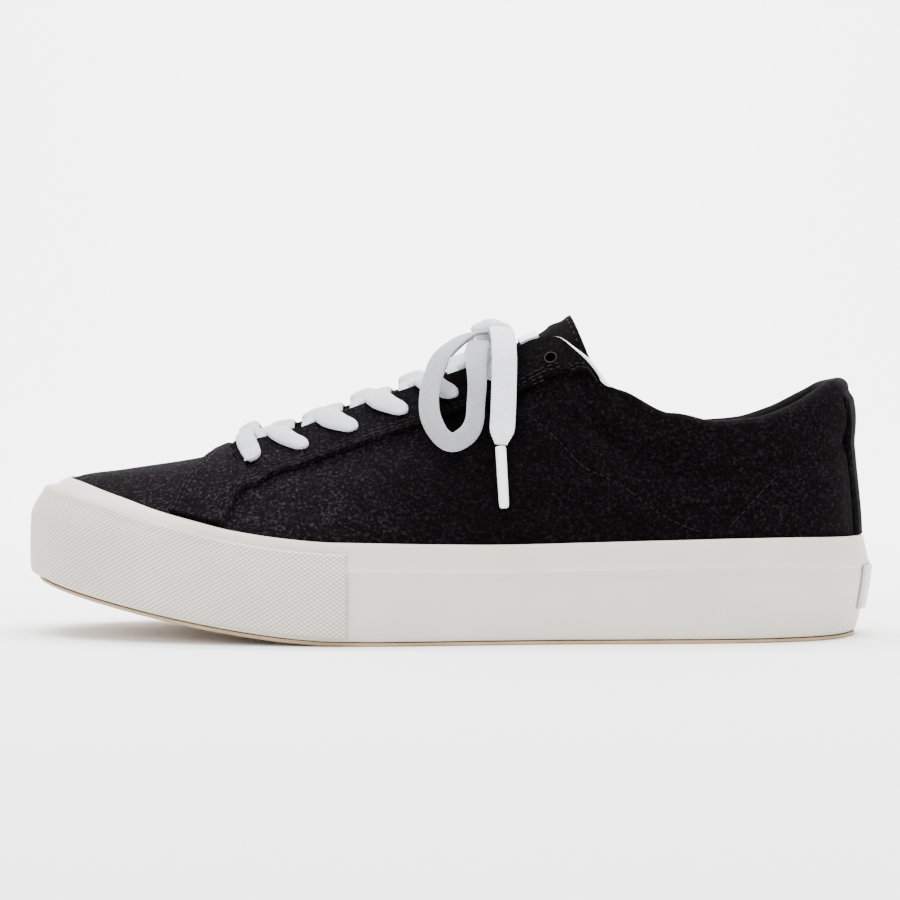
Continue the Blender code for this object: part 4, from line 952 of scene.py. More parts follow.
LOOP_TABLE = (
    ("x", "y", "z", "face_x", "face_y", "face_z", "wide"),
    (11.7, -9.0, 104.9, -0.30, -0.30, 0.90, 0.6),
    (5.0, -16.5, 103.2, -0.55, -0.45, 0.70, 1.0),
    (-0.5, -22.0, 99.0, -0.62, -0.62, 0.48, 1.0),
    (-4.6, -26.2, 92.0, -0.60, -0.76, 0.24, 1.0),
    (-6.7, -29.8, 84.0, -0.58, -0.80, 0.05, 1.0),
    (-6.4, -33.4, 76.5, -0.52, -0.84, -0.15, 1.0),
    (-3.2, -37.4, 69.8, -0.30, -0.88, -0.38, 0.93),
    (1.4, -39.4, 67.2, 0.00, -0.90, -0.45, 0.86),
    (5.9, -38.8, 69.4, 0.38, -0.84, -0.38, 0.93),
    (8.7, -36.2, 75.5, 0.62, -0.76, -0.18, 1.0),
    (9.5, -34.2, 83.2, 0.70, -0.71, 0.05, 1.0),
    (9.2, -32.0, 90.6, 0.62, -0.74, 0.26, 1.0),
    (9.4, -26.0, 97.2, 0.36, -0.66, 0.66, 1.0),
    (10.6, -17.6, 101.4, 0.10, -0.40, 0.90, 0.8),
)
END_TABLE = (
    ("x", "y", "z", "face_x", "face_y", "face_z", "wide"),
    (17.0, -9.5, 106.4, 0.10, -0.25, 0.96, 0.7),
    (18.2, -17.5, 105.4, 0.10, -0.50, 0.86, 1.0),
    (18.7, -24.2, 101.0, 0.05, -0.78, 0.62, 1.0),
    (18.8, -28.8, 93.8, 0.00, -0.90, 0.42, 1.0),
    (18.6, -31.6, 86.2, 0.00, -0.92, 0.36, 1.0),
    (18.3, -34.4, 78.6, 0.00, -0.92, 0.36, 1.0),
    (17.9, -36.8, 72.0, 0.00, -0.92, 0.34, 1.0),
    (17.4, -38.6, 66.6, 0.00, -0.95, 0.30, 0.5),
)
CROSSING_RISE = LACE_THICKNESS * 0.9
KNOT_PLACE = np.array((0.0148, 0.0, 0.1058))
KNOT_HALVES = np.array((0.0066, 0.0092, 0.0046))
AGLET_ENDS = np.array(((17.3, -38.9, 65.8), (18.4, -44.0, 45.5))) / 1000
AGLET_SIZES = ((0.0, 0.90), (0.03, 1.0), (0.5, 0.97), (0.93, 0.92), (0.98, 0.84), (1.0, 0.6))
FAR_SPREAD = 1.03


def mirrored(points, side):
    """Places of the bow on the outer side, or their image on the inner side."""
    return points if side < 0 else points * np.array((1.0, -FAR_SPREAD, 1.0))


PLACES_PER_ROW = 14
ROUTE_SMOOTHING = 6
EDGE_SMOOTHING = 10
BAND_SIDES = 28
BAND_FULLNESS = 0.62
BAND_HOLLOW = 0.28
RIPPLE_HEIGHT = 0.00035
RIPPLE_TURN = 0.22


def softened(curve, passes):
    """A row of points or sections with its bends eased; its ends stay."""
    for _ in range(passes):
        curve[1:-1] = curve[1:-1] * 0.5 + (curve[:-2] + curve[2:]) * 0.25
    return curve


def bow_band(name, table, side):
    """A soft flat band of lace along a table's places; returns it with its route."""
    rows = np.array(table[1:], dtype=float)
    last = len(rows) - 1
    curves = [monotone_curve(np.arange(last + 1), rows[:, column]) for column in range(7)]
    steps = np.linspace(0, last, PLACES_PER_ROW * last + 1)
    middle = softened(np.stack([curve(steps) for curve in curves[:3]], -1) / 1000, ROUTE_SMOOTHING)
    along = unit(np.gradient(middle, axis=0))
    face = np.stack([curve(steps) for curve in curves[3:6]], -1)
    wide = unit(np.cross(face, along))
    face = unit(np.cross(along, wide))
    share = curves[6](steps)[:, None, None]
    turns = np.linspace(0, 2 * math.pi, BAND_SIDES + 1)[:-1]
    # A flat lace is a woven tube pressed flat: round edges and a slight hollow along its middle.
    across = np.sign(np.cos(turns)) * np.abs(np.cos(turns)) ** 0.75
    deep = np.sign(np.sin(turns)) * np.abs(np.sin(turns)) ** 0.9
    deep = deep * (1 - BAND_HOLLOW * (1 - across ** 2) ** 2)
    ripple = RIPPLE_HEIGHT * np.sin(np.arange(len(steps)) * RIPPLE_TURN)[:, None, None]
    points = (middle[:, None] + wide[:, None] * (across[None, :, None] * LACE_WIDTH / 2 * share)
              + face[:, None] * (deep[None, :, None] * LACE_THICKNESS * BAND_FULLNESS
                                 + ripple * np.abs(across)[None, :, None]))
    points = mirrored(softened(points, EDGE_SMOOTHING), side)
    return lofted(name, points), mirrored(middle, side)


def lofted(name, sections):
    """A closed tube through sections, with its ends filled, mapped along and across."""
    sections = np.asarray(sections)
    count, rows = sections.shape[:2]
    faces = []
    for column in range(count - 1):
        for row in range(rows):
            after = (row + 1) % rows
            faces.append((column * rows + row, (column + 1) * rows + row,
                          (column + 1) * rows + after, column * rows + after))
    faces.append(tuple(range(rows)))
    faces.append(tuple((count - 1) * rows + row for row in reversed(range(rows))))
    middle = sections.mean(axis=1)
    along = np.concatenate(([0.0], np.cumsum(np.linalg.norm(np.diff(middle, axis=0), axis=-1))))
    wide = unit(sections[:, 0] - sections[:, rows // 2])
    across = np.sum((sections - middle[:, None]) * wide[:, None], -1)
    uv = np.stack((np.broadcast_to(along[:, None], across.shape), across), -1).reshape(-1, 2)
    return mesh_piece(name, sections.reshape(-1, 3), faces, 60, uv)


def tongue_edge(side, reach):
    """Top of the lining at the throat, moved in by the tongue's clearance."""
    return upper_face(side, reach, 1.0, wall_at(reach, 1.0) + TONGUE_GAP, soft=False)


def tongue_face(share, across):
    """Points of the tongue's face at arrays of places."""
    share, across = np.broadcast_arrays(np.asarray(share, float), np.asarray(across, float))
    reach = np.arccos(1 - 2 * share)
    outer, inner = tongue_edge(-1, reach), tongue_edge(1, reach)
    middle = (outer + inner) / 2
    amount = np.abs(across)
    part = np.clip(amount / TONGUE_EDGE, 0, 1)[..., None]
    edge = np.where((across < 0)[..., None], outer, inner)
    lift = TONGUE["crown"](share)[..., None] * TONGUE_RISE * (1 - part * part) ** 0.7
    arch = middle + (edge - middle) * part + THROAT_UP * lift
    flank = np.empty_like(arch)
    past = np.clip((amount - TONGUE_EDGE) / (1 - TONGUE_EDGE), 0, 1)
    for side in (-1, 1):
        chosen = (across < 0) if side < 0 else (across >= 0)
        height = below_top(side, reach, TONGUE_FLANK * past)
        points = upper_face(side, reach, height, wall_at(reach, height) + TONGUE_GAP, soft=False)
        flank[chosen] = points[chosen]
    return np.where((amount <= TONGUE_EDGE)[..., None], arch, flank)


def above_tongue(share, across, lift):
    """Points over the tongue's face."""
    step = 0.004
    place = tongue_face(share, across)
    normal = unit(np.cross(tongue_face(np.asarray(share) + step, across) - place,
                           tongue_face(share, np.asarray(across) + step) - place))
    normal = np.where(normal[..., 2:] > 0, normal, -normal)
    return place + normal * np.asarray(lift)[..., None]


# A lace's place across the throat: 0 is the middle, 1 the throat's edge and 2 the eyelet.
ON_TONGUE = 0.9
ON_EDGE = 1.1
PAST_EDGE = 1.2


def lace_point(station, across, lift):
    """Point over the tongue, the throat's edge or the eyestay."""
    side = -1 if across < 0 else 1
    amount = abs(across)
    reach = np.array(eyelet_turn(station))
    over_eyestay = OVERLAY_GAP + OVERLAY_WALL
    if amount < ON_TONGUE:
        return above_tongue(share_at(reach), across * TONGUE_EDGE, lift)
    top = rib_top(np.array([side * float(reach)]))[0]
    curve = rib_curves(np.array([side * float(reach)]))[0]
    leaving = unit(curve[3] - curve[2])
    normal = face_normal(side, reach, np.array(1.0))
    if amount < ON_EDGE:
        crest = top - normal * UPPER_WALL / 2
        return crest + leaving * (rim_height(reach) + lift)
    if amount < PAST_EDGE:
        return top + normal * (over_eyestay * 0.75 + lift * 0.6) + leaving * lift
    height = below_top(side, reach, EYELET_EDGE * (amount - 1))
    return upper_face(side, reach, height, -over_eyestay - lift, soft=False)


def lace_length(name, table, number, side, raised=0.0):
    """A length of lace across the throat, laid on the tongue and eyestay as a soft band."""
    grid = []
    for across, station, lift, half in table[1:]:
        rise = LACE_GAP + lift * LACE_THICKNESS + (raised if abs(across) < 0.1 else 0.0)
        grid.append([lace_point(number + station + half * part, side * across, rise)
                     for part in (-1.0, -0.5, 0.0, 0.5, 1.0)])
    grid = np.array(grid)
    places = np.arange(len(grid))
    fine = np.linspace(0, len(grid) - 1, 8 * (len(grid) - 1) + 1)
    curve = np.empty((len(fine), grid.shape[1], 3))
    for row in range(grid.shape[1]):
        for axis in range(3):
            curve[:, row, axis] = monotone_curve(places, grid[:, row, axis])(fine)
    curve = softened(curve, 3)
    width = np.linspace(0, grid.shape[1] - 1, 15)
    band = np.empty((len(fine), len(width), 3))
    for axis in range(3):
        for index in range(len(fine)):
            band[index, :, axis] = np.interp(width, np.arange(grid.shape[1]), curve[index, :, axis])
    return pillow(name, band, LACE_THICKNESS * 1.2, 0.42, THROAT_UP)


dress(lace_length("lace_front_bar_woven", BAR_TABLE, 0.0, 1.0), LACE_COTTON, ("lace_bar_front",))
for number in range(1, EYELET_COUNT - 1):
    node_name = "lace_cross_%d" % number
    under = lace_length(node_name + "_under", CROSSING_TABLE, number, 1.0)
    over = lace_length(node_name + "_over", CROSSING_TABLE, number, -1.0, CROSSING_RISE)
    dress(under, LACE_COTTON, (node_name,))
    dress(over, LACE_COTTON, ())
dress(lace_length("lace_top_bar_woven", TOP_BAR_TABLE, EYELET_COUNT - 1.0, 1.0), LACE_COTTON,
      ("lace_bar_top",))


def knot():
    """The tied knot: a band wrapped over the crossing of the bow, with soft folds."""
    shape = bmesh.new()
    bmesh.ops.create_uvsphere(shape, u_segments=64, v_segments=40, radius=1.0)
    for corner in shape.verts:
        x, y, z = corner.co
        turn = math.atan2(z, x)
        fold = 1 + 0.05 * math.sin(5 * turn + 2.2 * y) + 0.06 * math.cos(7 * y)
        waist = 1 - 0.16 * (1 - min(1.0, abs(y) * 2.2))
        corner.co = KNOT_PLACE + KNOT_HALVES * np.array((x * fold, y, z * fold * waist))
    mesh = bpy.data.meshes.new("lace_knot_tied")
    shape.to_mesh(mesh)
    shape.free()
    mesh.shade_smooth()
    layer = mesh.uv_layers.new(name="UVMap")
    for loop in mesh.loops:
        place = mesh.vertices[loop.vertex_index].co
        layer.data[loop.index].uv = (place.x * 1.2 + place.z, place.y)
    return linked("lace_knot_tied", mesh)


dress(knot(), LACE_COTTON, ("lace_knot",))


def aglet(name, side):
    """Rolled film tip, with a soft step where it grips the lace."""
    low, high = mirrored(AGLET_ENDS, side)
    axis = unit(high - low)
    wide = unit(np.cross(axis, np.array((0.0, 1.0, 0.0))))
    deep = np.cross(axis, wide)
    sections = []
    for part, size in AGLET_SIZES:
        ring = [low + (high - low) * part + (wide * math.cos(angle) + deep * math.sin(angle) * 0.8)
                * AGLET_WIDTH / 2 * size for angle in np.linspace(0, 2 * math.pi, 25)[:-1]]
        sections.append(ring)
    return lofted(name, sections)


for side, name in ((-1, "near"), (1, "far")):
    loop, loop_route = bow_band("lace_loop_" + name + "_woven", LOOP_TABLE, side)
    end, end_route = bow_band("lace_end_" + name + "_woven", END_TABLE, side)
    tip = aglet("aglet_" + name + "_film", side)
    # Loops wear the darker lace copy (painted shade), free ends the lighter one (painted light).
    dress(loop, SHADED_LOOP_COTTON, ("lace_loop_" + name,))
    dress(end, LIT_END_COTTON, ("lace_end_" + name,))
    dress(tip, AGLET_FILM, ("aglet_" + name,))

# Sole.
FINE_ROUND = np.linspace(-math.pi, math.pi, 561)[:-1]
FOXING_ROWS = np.concatenate((np.linspace(0, 0.10, 5), np.linspace(0.14, 0.66, 12),
                              (0.675, 0.686, 0.694, 0.700, 0.712, 0.73), np.linspace(0.76, 0.95, 8),
                              (0.965, 0.98, 0.992, 1.0)))


BEAD_PLACE, BEAD_HALF, BEAD_HEIGHT = 0.715, 0.014, 0.00055
HEM_DEPTH = 0.0005
BUMPER_LOW = 0.05
EDGE_ROLL = 0.022
RIM_PLACE, RIM_HALF, RIM_HEIGHT = 0.850, 0.017, 0.00045
BACK_CLEAR = 0.0001


def foxing():
    """Rubber band round the sole: a ridge below its top, a rounded lip and a small hem."""
    rows = FOXING_ROWS
    side = side_profile(FINE_ROUND, rows)
    outer = side.copy()
    step = FOXING_STEP * (1 - smooth((rows - (RIDGE_HEIGHT - 0.022)) / 0.020))
    outer[..., 0] += step[None, :]
    outer[..., 0] -= BEAD_HEIGHT * np.exp(-((rows - BEAD_PLACE) / BEAD_HALF) ** 2)[None, :]
    lip = smooth((rows - 0.965) / 0.035) * FOXING_LIP * 0.45
    hem = smooth((0.03 - rows) / 0.03) * HEM_DEPTH
    outer = moved_profile(outer, np.broadcast_to((lip + hem)[None, :], outer.shape[:2]))
    inner = moved_profile(side, np.broadcast_to(foxing_walls(rows)[None, :], side.shape[:2]))
    return slab("foxing_rubber", placed(FINE_ROUND, outer), placed(FINE_ROUND, inner), True, 35)


def bumper():
    """Second layer of rubber round the toe, with rounded edges."""
    end = angle_of(BUMPER_END)
    turns = np.linspace(-end, end, 361)
    rows = np.concatenate(((BUMPER_LOW, 0.058), np.linspace(0.08, 0.84, 26),
                           (0.86, 0.873, 0.881, BUMPER_TOP)))
    side = side_profile(turns, rows)
    across = rolled(np.minimum(rows - BUMPER_LOW, BUMPER_TOP - rows) / EDGE_ROLL)
    along = 0.55 + 0.45 * rolled(np.minimum(turns + end, end - turns) / 0.012)
    rim = RIM_HEIGHT * np.exp(-((rows - RIM_PLACE) / RIM_HALF) ** 2)
    thick = BUMPER_WALL * (0.45 + 0.55 * across)[None, :] * along[:, None] + rim[None, :]
    outer = placed(turns, moved_profile(side, -GAP - thick))
    inner = placed(turns, moved_profile(side, np.full(side.shape[:2], BACK_CLEAR)))
    return slab("toe_bumper_rubber", outer, inner, False, 35)


def heel_patch():
    """Thin rubber patch round the back of the heel, with rounded edges."""
    turns = np.linspace(math.pi - PATCH_TURN, math.pi + PATCH_TURN, 73)
    rows = np.concatenate(((PATCH_LOW, PATCH_LOW + 0.012), np.linspace(0.27, 0.66, 16),
                           (PATCH_HIGH - 0.014, PATCH_HIGH)))
    side = side_profile(turns, rows)
    shape = (rolled(np.minimum(rows - PATCH_LOW, PATCH_HIGH - rows) / EDGE_ROLL)[None, :]
             * rolled(np.minimum(turns - turns[0], turns[-1] - turns) / 0.02)[:, None])
    outer = moved_profile(side, -GAP - PATCH_WALL * (0.35 + 0.65 * shape))
    inner = moved_profile(side, np.full(side.shape[:2], BACK_CLEAR))
    return slab("heel_patch_rubber", placed(turns, outer), placed(turns, inner), False, 35)


dress(foxing(), WHITE_RUBBER, ("foxing",))
dress(bumper(), BUMPER_RUBBER, ("toe_bumper",))
dress(heel_patch(), WHITE_RUBBER, ("heel_patch",))
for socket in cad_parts["outsole"].material_slots:
    socket.material = TREAD_RUBBER


def foot_bed():
    """Foam foot bed under its cover: the solid's own outline with its rim rolled over."""
    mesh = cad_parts["insole"].data.copy()
    shaping = bmesh.new()
    shaping.from_mesh(mesh)
    bmesh.ops.remove_doubles(shaping, verts=shaping.verts, dist=1e-6)
    bmesh.ops.dissolve_limit(shaping, angle_limit=math.radians(1.0), verts=shaping.verts,
                             edges=shaping.edges)
    rim = [edge for edge in shaping.edges
           if len(edge.link_faces) == 2 and edge.calc_face_angle() > math.radians(40)]
    bmesh.ops.bevel(shaping, geom=rim, offset=FOOT_BED_ROLL, segments=4, profile=0.5,
                    affect="EDGES", clamp_overlap=True)
    bmesh.ops.triangulate(shaping, faces=shaping.faces)
    shaping.to_mesh(mesh)
    shaping.free()
    mesh.shade_smooth()
    mesh.set_sharp_from_angle(angle=math.radians(45))
    return linked("insole_foot_bed", mesh)


foot_bed_piece = foot_bed()
dress(foot_bed_piece, INSOLE_CLOTH, ("insole",))

# Upper.
VAMP_TURNS = np.linspace(1e-4, angle_of(THROAT_FRONT), 70)
BLUNT_TURNS = np.array([angle_of(THROAT_FRONT + step) for step in np.linspace(0.001, 0.036, 26)])
REAR_TURNS = np.linspace(BLUNT_TURNS[-1], math.pi - 1e-4, 190)[1:]
STATIONS = np.concatenate((VAMP_TURNS, BLUNT_TURNS, REAR_TURNS))
LAST_VAMP = len(VAMP_TURNS) - 1
OUTER_ROWS = np.linspace(0, 1, 64)
RIM_ROWS = 9
LINING = np.array((1.0, 0.97, 0.93, 0.88, 0.82, 0.76, 0.69, 0.62, 0.52, 0.42, 0.30, 0.20))
# Where the white lining shows at the throat's front, in shares of the length.
WHITE_EDGE = (THROAT_FRONT, 0.305)


def upper_shell(name, stations):
    """Both sides of the upper as one closed wall."""
    grids = {}
    for side in (-1, 1):
        turns = side * stations
        outer_leg = leg(turns, 0.0)[:, :-1]
        inner_leg = leg(turns, UPPER_WALL)[:, :-1][:, ::-1]
        reach = stations[:, None]
        outer = upper_face(side, reach, OUTER_ROWS[None, :])
        lining = upper_face(side, reach, LINING[None, :], wall_at(reach, LINING[None, :]), False)
        curves = controls(side, stations)
        leaving = unit(curves[:, 3] - curves[:, 2])
        leaving[:LAST_VAMP + 1] = unit(np.array((1.0, 0.0, RIDGE_SLOPE)))
        top, under = outer[:, -1], lining[:, 0]
        middle, half = (top + under) / 2, (under - top) / 2
        angles = np.linspace(0, math.pi, RIM_ROWS + 2)[1:-1]
        rise = rim_height(stations)[:, None]
        rim = np.stack([middle - half * math.cos(angle) + leaving * rise * math.sin(angle)
                        for angle in angles], 1)
        grids[side] = np.concatenate((outer_leg, outer, rim, lining, inner_leg), 1)
    rows = grids[1].shape[1]
    top_row = 4 + len(OUTER_ROWS) - 1
    lining_row = top_row + RIM_ROWS + 1
    for station in range(len(stations)):
        if station in (0, len(stations) - 1):
            shared = slice(0, rows)
        elif station <= LAST_VAMP:
            shared = slice(top_row, lining_row + 1)
        else:
            continue
        middle = (grids[1][station, shared] + grids[-1][station, shared]) / 2
        grids[1][station, shared] = middle
        grids[-1][station, shared] = middle
    points = np.concatenate((grids[-1].reshape(-1, 3), grids[1].reshape(-1, 3)))
    faces, looks = [], []
    for base in (0, grids[1].shape[0] * rows):
        for station in range(len(stations) - 1):
            for row in range(rows):
                after = (row + 1) % rows
                if station + 1 <= LAST_VAMP and top_row <= row < lining_row:
                    continue
                faces.append((base + station * rows + row, base + (station + 1) * rows + row,
                              base + (station + 1) * rows + after, base + station * rows + after))
                share = share_at(stations[station])
                edged = WHITE_EDGE[0] < share < WHITE_EDGE[1]
                if top_row <= row < lining_row + 1:
                    looks.append(2 if edged else 0 if row < lining_row - 3 else 1)
                else:
                    looks.append(0 if row < top_row else 1)
    piece = mesh_piece(name, points, faces, 60)
    for material in (VAMP_SUEDE, LINING_CLOTH, WHITE_LINING):
        piece.data.materials.append(material)
    piece.data.polygons.foreach_set("material_index", np.array(looks))
    return piece


upper = upper_shell("upper_suede", STATIONS)
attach(upper, "root")
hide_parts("upper")


def overlay_grid(side, spread, heights):
    """Turns and heights of a grid over the eyestay's area."""
    grid = []
    for share in spread:
        column = []
        for height in heights:
            start = angle_of(float(EYESTAY["front"](height)))
            end = angle_of(float(EYESTAY["rear"](height)))
            column.append(start + (end - start) * share)
        grid.append(column)
    reach = np.array(grid)
    tall = np.maximum(np.asarray(heights)[None, :], OVERLAY_FOOT / chord_at(side, reach))
    return reach, tall


def eyestay():
    """Reinforcement round the throat in one layer, joined over the vamp, with soft cut edges."""
    heights = np.concatenate((np.linspace(0, 0.64, 26), np.linspace(0.66, 0.80, 16),
                              np.linspace(0.82, 1.0, 14)))
    first = angle_of(float(EYESTAY["front"](1.0)))
    last = angle_of(float(EYESTAY["rear"](1.0)))
    joined = (angle_of(THROAT_FRONT) - first) / (last - first)
    before = 14
    spread = np.concatenate((np.linspace(0, joined, before + 1)[:-1],
                             joined + (1 - joined) * np.linspace(0, 1, 150) ** 1.25))
    points, faces = [], []
    grids = {}
    edge_in = from_ends(len(spread))
    for side in (-1, 1):
        reach, tall = overlay_grid(side, spread, heights)
        soft = np.minimum((edge_in / 1.6)[:, None], np.arange(len(heights))[None, :])
        thick = OVERLAY_WALL * (0.30 + 0.70 * rolled(soft))
        lower = upper_face(side, reach, tall, -0.0004, False)
        outer = upper_face(side, reach, tall, 0.0, False)
        outer = outer + face_normal(side, reach, tall) * (OVERLAY_GAP + thick)[..., None]
        grids[side] = (lower, outer)
    rows = len(heights)
    for layer in (0, 1):
        for column in range(before + 1):
            middle = (grids[1][layer][column, -1] + grids[-1][layer][column, -1]) / 2
            grids[1][layer][column, -1] = middle
            grids[-1][layer][column, -1] = middle
    count = len(spread)
    blocks = [grids[-1][0], grids[-1][1], grids[1][0], grids[1][1]]
    points = np.concatenate([block.reshape(-1, 3) for block in blocks])
    size = count * rows
    for pair in (0, 2 * size):
        faces += grid_faces(count, rows, pair, False) + grid_faces(count, rows, pair + size, False)
        for row in range(rows - 1):
            for column in (0, count - 1):
                one = pair + column * rows + row
                faces.append((one, one + 1, one + size + 1, one + size))
        for column in range(count - 1):
            for row in (0, rows - 1):
                if row == rows - 1 and column < before:
                    continue
                one, two = pair + column * rows + row, pair + (column + 1) * rows + row
                faces.append((one, two, two + size, one + size))
    return mesh_piece("eyestay_suede", points, faces, 50)


dress(eyestay(), EYESTAY_SUEDE, ("eyestay",))
BINDING_RADIUS = 0.0008
BINDING_PLACES = 60


def edge_binding(name, side, start, end):
    """White lining turned over the throat's edge, as a thin roll above the eyestay."""
    reach = np.arccos(1 - 2 * np.linspace(start, end, BINDING_PLACES))
    curves = controls(side, reach)
    leaving = unit(curves[:, 3] - curves[:, 2])
    normal = face_normal(side, reach, np.ones(len(reach)))
    middle = rib_top(side * reach) + normal * 0.0006 + leaving * (rim_height(reach) * 0.55)[:, None]
    along = unit(np.gradient(middle, axis=0))
    wide = unit(np.cross(along, leaving))
    high = np.cross(wide, along)
    angles = np.linspace(0, 2 * math.pi, 17)[:-1]
    size = BINDING_RADIUS * np.sqrt(np.clip(from_ends(BINDING_PLACES) / 5, 0.05, 1))
    sections = (middle[:, None] + (wide[:, None] * np.cos(angles)[None, :, None] * 0.7
                                   + high[:, None] * np.sin(angles)[None, :, None])
                * size[:, None, None])
    return lofted(name, sections)


for side, name in ((-1, "outer"), (1, "inner")):
    dress(edge_binding("throat_lining_edge_" + name, side, 0.645, 0.752), WHITE_LINING, ())

# Stitches and eyelets.
SEAM_SMOOTHING = 300
STITCH_PITCH = 0.0025
STITCH_LENGTH = 0.0019
THREAD_WIDTH = 0.00046
SHORTEST, LONGEST = 0.82, 1.12


def seam_places(side, line, inset):
    """Turns and heights at an even pitch along a line, moved square to it by an inset."""
    line = np.array(line)
    spots = np.linspace(0, len(line) - 1, 30 * len(line))
    fine = np.stack([np.interp(spots, np.arange(len(line)), line[:, axis]) for axis in (0, 1)], -1)
    fine = softened(fine, SEAM_SMOOTHING)
    tall = chord_at(side, np.arccos(1 - 2 * fine[:, 0]))
    flat = np.stack((fine[:, 0] * LENGTH, fine[:, 1] * tall), -1)
    run = unit(np.gradient(flat, axis=0))
    flat = flat + np.stack((run[:, 1], -run[:, 0]), -1) * inset
    reach = np.arccos(1 - 2 * flat[:, 0] / LENGTH)
    height = np.clip(flat[:, 1] / chord_at(side, reach), 0.02, 0.975)
    places = upper_face(side, reach, height)
    length = np.concatenate(([0.0], np.cumsum(np.linalg.norm(np.diff(places, axis=0), axis=-1))))
    stops = np.arange(STITCH_PITCH / 2, length[-1], STITCH_PITCH)
    return np.interp(stops, length, reach), np.interp(stops, length, height)


def seam_row(side, line, inset, lift, soft):
    """Places and normals of one row of stitches."""
    reach, height = seam_places(side, line, inset)
    return upper_face(side, reach, height, -lift, soft), face_normal(side, reach, height)


def tongue_row(share, reach_across):
    """Places and normals of a row of stitches across the tongue."""
    across = np.linspace(-reach_across, reach_across, 24)
    places = above_tongue(share, across, np.full(len(across), ON_UPPER))
    under = above_tongue(share, across, np.full(len(across), ON_UPPER - 0.001))
    return places, unit(places - under)


def socket_of(source, name):
    """The live output of a node by its name."""
    return next(output for output in source.outputs if output.name == name and output.enabled)


def stitch_nodes():
    """Node group that sets a thread stitch on every place, lying along its seam."""
    tree = bpy.data.node_groups.new("machine_stitches", "GeometryNodeTree")
    sockets = {}
    for name, kind in (("Places", "NodeSocketGeometry"), ("Stitch length", "NodeSocketFloat"),
                       ("Thread width", "NodeSocketFloat"), ("Thread", "NodeSocketMaterial")):
        sockets[name] = tree.interface.new_socket(name, in_out="INPUT", socket_type=kind).identifier
    tree.interface.new_socket("Stitches", in_out="OUTPUT", socket_type="NodeSocketGeometry")
    given = node(tree, "NodeGroupInput")
    result = node(tree, "NodeGroupOutput")
    thread = node(tree, "GeometryNodeMeshUVSphere", {}, {"Segments": 8, "Rings": 6, "Radius": 0.5})
    along, upward = (node(tree, "GeometryNodeInputNamedAttribute", {"data_type": "FLOAT_VECTOR"},
                          {"Name": name}) for name in ("along", "upward"))
    lying = node(tree, "FunctionNodeAlignRotationToVector", {"axis": "X"},
                 {"Vector": socket_of(along, "Attribute")})
    facing = node(tree, "FunctionNodeAlignRotationToVector", {"axis": "Z", "pivot_axis": "X"},
                  {"Vector": socket_of(upward, "Attribute"), "Rotation": lying.outputs[0]})
    vary = node(tree, "FunctionNodeRandomValue", {"data_type": "FLOAT"},
                {2: SHORTEST, 3: LONGEST, "Seed": 7})
    size = node(tree, "ShaderNodeCombineXYZ", {}, {"X": given.outputs["Stitch length"],
                                                   "Y": given.outputs["Thread width"],
                                                   "Z": given.outputs["Thread width"]})
    sized = node(tree, "ShaderNodeVectorMath", {"operation": "SCALE"},
                 {0: size.outputs[0], "Scale": socket_of(vary, "Value")})
    sewn = node(tree, "GeometryNodeInstanceOnPoints", {},
                {"Points": given.outputs["Places"], "Instance": thread.outputs["Mesh"],
                 "Rotation": facing.outputs[0], "Scale": sized.outputs[0]})
    real = node(tree, "GeometryNodeRealizeInstances", {}, {"Geometry": sewn.outputs[0]})
    soft = node(tree, "GeometryNodeSetShadeSmooth", {}, {"Geometry": real.outputs[0]})
    worn = node(tree, "GeometryNodeSetMaterial", {}, {"Geometry": soft.outputs[0],
                                                     "Material": given.outputs["Thread"]})
    tree.links.new(worn.outputs[0], result.inputs[0])
    return tree, sockets


def stitches(name, rows, material):
    """All the stitches of some rows of places and normals, as one plain mesh."""
    centres = [places for places, normals in rows]
    along = [unit(np.gradient(places, axis=0)) for places, normals in rows]
    upward = [normals for places, normals in rows]
    mesh = bpy.data.meshes.new(name + "_places")
    mesh.from_pydata(np.concatenate(centres).tolist(), [], [])
    for label_name, values in (("along", along), ("upward", upward)):
        layer = mesh.attributes.new(label_name, "FLOAT_VECTOR", "POINT")
        layer.data.foreach_set("vector", np.concatenate(values).ravel().astype(np.float32))
    holder = linked(name + "_places", mesh)
    tree, sockets = stitch_nodes()
    maker = holder.modifiers.new("stitches", "NODES")
    maker.node_group = tree
    maker[sockets["Stitch length"]] = STITCH_LENGTH
    maker[sockets["Thread width"]] = THREAD_WIDTH
    maker[sockets["Thread"]] = material
    ready = holder.evaluated_get(bpy.context.evaluated_depsgraph_get())
    made = bpy.data.meshes.new_from_object(ready)
    bpy.data.objects.remove(holder, do_unlink=True)
    return dress(linked(name, made), material, ())


FRONT_EDGE = [(float(EYESTAY["front"](level)), level) for level in np.linspace(0.03, 0.90, 20)]
REAR_EDGE = [(float(EYESTAY["rear"](level)), level) for level in
             np.concatenate((np.linspace(0.03, 0.66, 14), np.linspace(0.67, 0.98, 16)))]
ON_UPPER = THREAD_WIDTH * 0.12
ON_EYESTAY = OVERLAY_GAP + OVERLAY_WALL + ON_UPPER
eyestay_rows, upper_rows = [], []
for side in (-1, 1):
    for inset in (0.0016, 0.0032):
        eyestay_rows.append(seam_row(side, FRONT_EDGE, inset, ON_EYESTAY, False))
        eyestay_rows.append(seam_row(side, REAR_EDGE, -inset, ON_EYESTAY, False))
    for level in (0.745, 0.765, 0.785, 0.805):
        eyestay_rows.append(seam_row(side, ((0.628, level), (0.650, level)), 0.0, ON_EYESTAY, False))
    for line in (VAMP_ROW, QUARTER_ROW, HEEL_ROW):
        upper_rows.append(seam_row(side, line, 0.0, ON_UPPER, True))
stitches("eyestay_stitching", eyestay_rows, THREAD)
stitches("upper_stitching", upper_rows, THREAD)
stitches("tongue_stitching", [tongue_row(0.7345, 0.86), tongue_row(0.7255, 0.86)], THREAD)


HOLE_LIFTS = (0.00012, -0.0002)
HOLE_RIM = 0.0002


